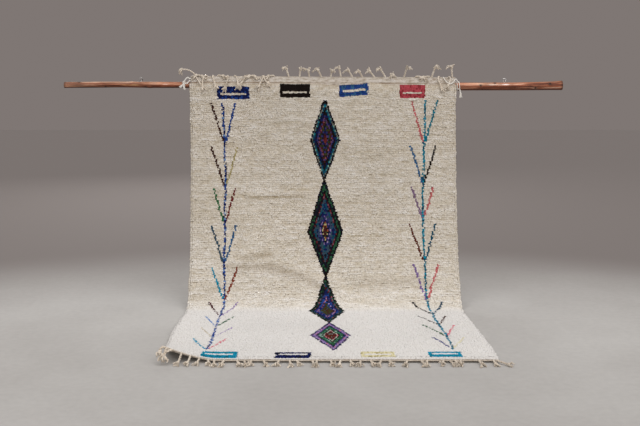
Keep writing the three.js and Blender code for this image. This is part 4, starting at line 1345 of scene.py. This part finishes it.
def make_eyes(look):
    """Screw eyes: a bent ring that ends beside its shank, which goes into the pole."""
    angle = np.radians(np.linspace(-90, 246, 64))
    for x, name in zip(EYES_X, ("hanger_eye_left", "hanger_eye_right")):
        batch = Batch()
        foot = round_pole(x, pole_at(x, 3), TURN / 4)
        bent = np.stack([np.cos(angle), 0 * angle, np.sin(angle)], -1) * EYE_RADIUS
        bent += foot + (0, 0, EYE_NECK + EYE_RADIUS)
        shank = [foot + (0, 0, height) for height in (-0.012, 0, EYE_NECK - 0.0010)]
        batch.tube(np.vstack([smooth_path(shank, 14)[:-1], bent]), EYE_WIRE, 12)
        collar = [foot + (0, 0, height) for height in (0.0, 0.0006, 0.0012, 0.0016)]
        batch.tube(collar, (0.0031, 0.0034, 0.0031, 0.0022), 16)
        batch.piece(name + "_wire", look, "eye_steel", (name,))


# Room, light and camera

def make_floor(look):
    mesh = bpy.data.meshes.new("floor")
    reach = 14.0
    corners = [(-reach, -reach, 0), (reach, -reach, 0), (reach, reach, 0), (-reach, reach, 0)]
    mesh.from_pydata(corners, [], [(0, 1, 2, 3)])
    mesh.materials.append(look)
    new_object("floor", mesh)


def add_light(name, kind, place, target, power, colour, **settings):
    data = bpy.data.lights.new(name, kind)
    data.energy = power
    data.color = colour
    for key, value in settings.items():
        setattr(data, key, value)
    lamp = new_object(name, data)
    lamp.location = place
    lamp.rotation_euler = (Vector(target) - Vector(place)).to_track_quat("-Z", "Y").to_euler()


def make_light():
    """A broad soft light from above and a little in front, with weak fills from the front and the back."""
    world = bpy.data.worlds.new("studio")
    bpy.context.scene.world = world
    bpy.context.scene.view_settings.view_transform = "Standard"
    world.use_nodes = True
    background = world.node_tree.nodes["Background"]
    background.inputs["Color"].default_value = (0.212, 0.184, 0.174, 1)
    background.inputs["Strength"].default_value = 1.0
    add_light("sky", "SUN", (0.7, -2.3, 4.5), (0.1, 0.6, 0.0), 2.45, (1.0, 0.99, 0.98), angle=1.9)
    add_light("front fill", "AREA", (2.2, -5.5, 2.6), (0.0, 0.6, 0.7), 30, (1.0, 0.985, 0.965), size=3.0)
    add_light("back fill", "AREA", (-1.2, 6.0, 3.0), (0.0, 0.9, 0.5), 60, (1.0, 0.985, 0.965), size=3.0)


CAMERA_PLACE = (0.0, -5.5, 1.453)
CAMERA_PITCH = 8.58
CAMERA_LENS = 61.875


def make_camera():
    data = bpy.data.cameras.new("camera")
    data.lens = CAMERA_LENS
    data.sensor_width = 36.0
    camera = new_object("camera", data)
    camera.location = CAMERA_PLACE
    camera.rotation_euler = (math.radians(90 - CAMERA_PITCH), 0, 0)
    bpy.context.scene.camera = camera


def main():
    make_camera()
    make_light()
    make_floor(floor_look())
    pile_wool = wool_look()
    fringe_yarn = yarn_look("fringe yarn", (0.77, 0.71, 0.63), (0.56, 0.485, 0.40))
    tie_yarn = yarn_look("tie yarn", (0.92, 0.90, 0.86), (0.80, 0.76, 0.69))
    knots = Knots()
    ground = make_ground(woven_look())
    pile = make_pile(pile_wool, knots)
    backs = make_knot_backs(pile_wool, knots)
    fringes = [make_top_fringe(fringe_yarn), make_front_fringe(fringe_yarn)]
    make_left_tie(tie_yarn)
    make_right_tie(tie_yarn)
    make_lashing(tie_yarn)
    make_pole(wood_look(), end_grain_look())
    make_eyes(steel_look())


main()
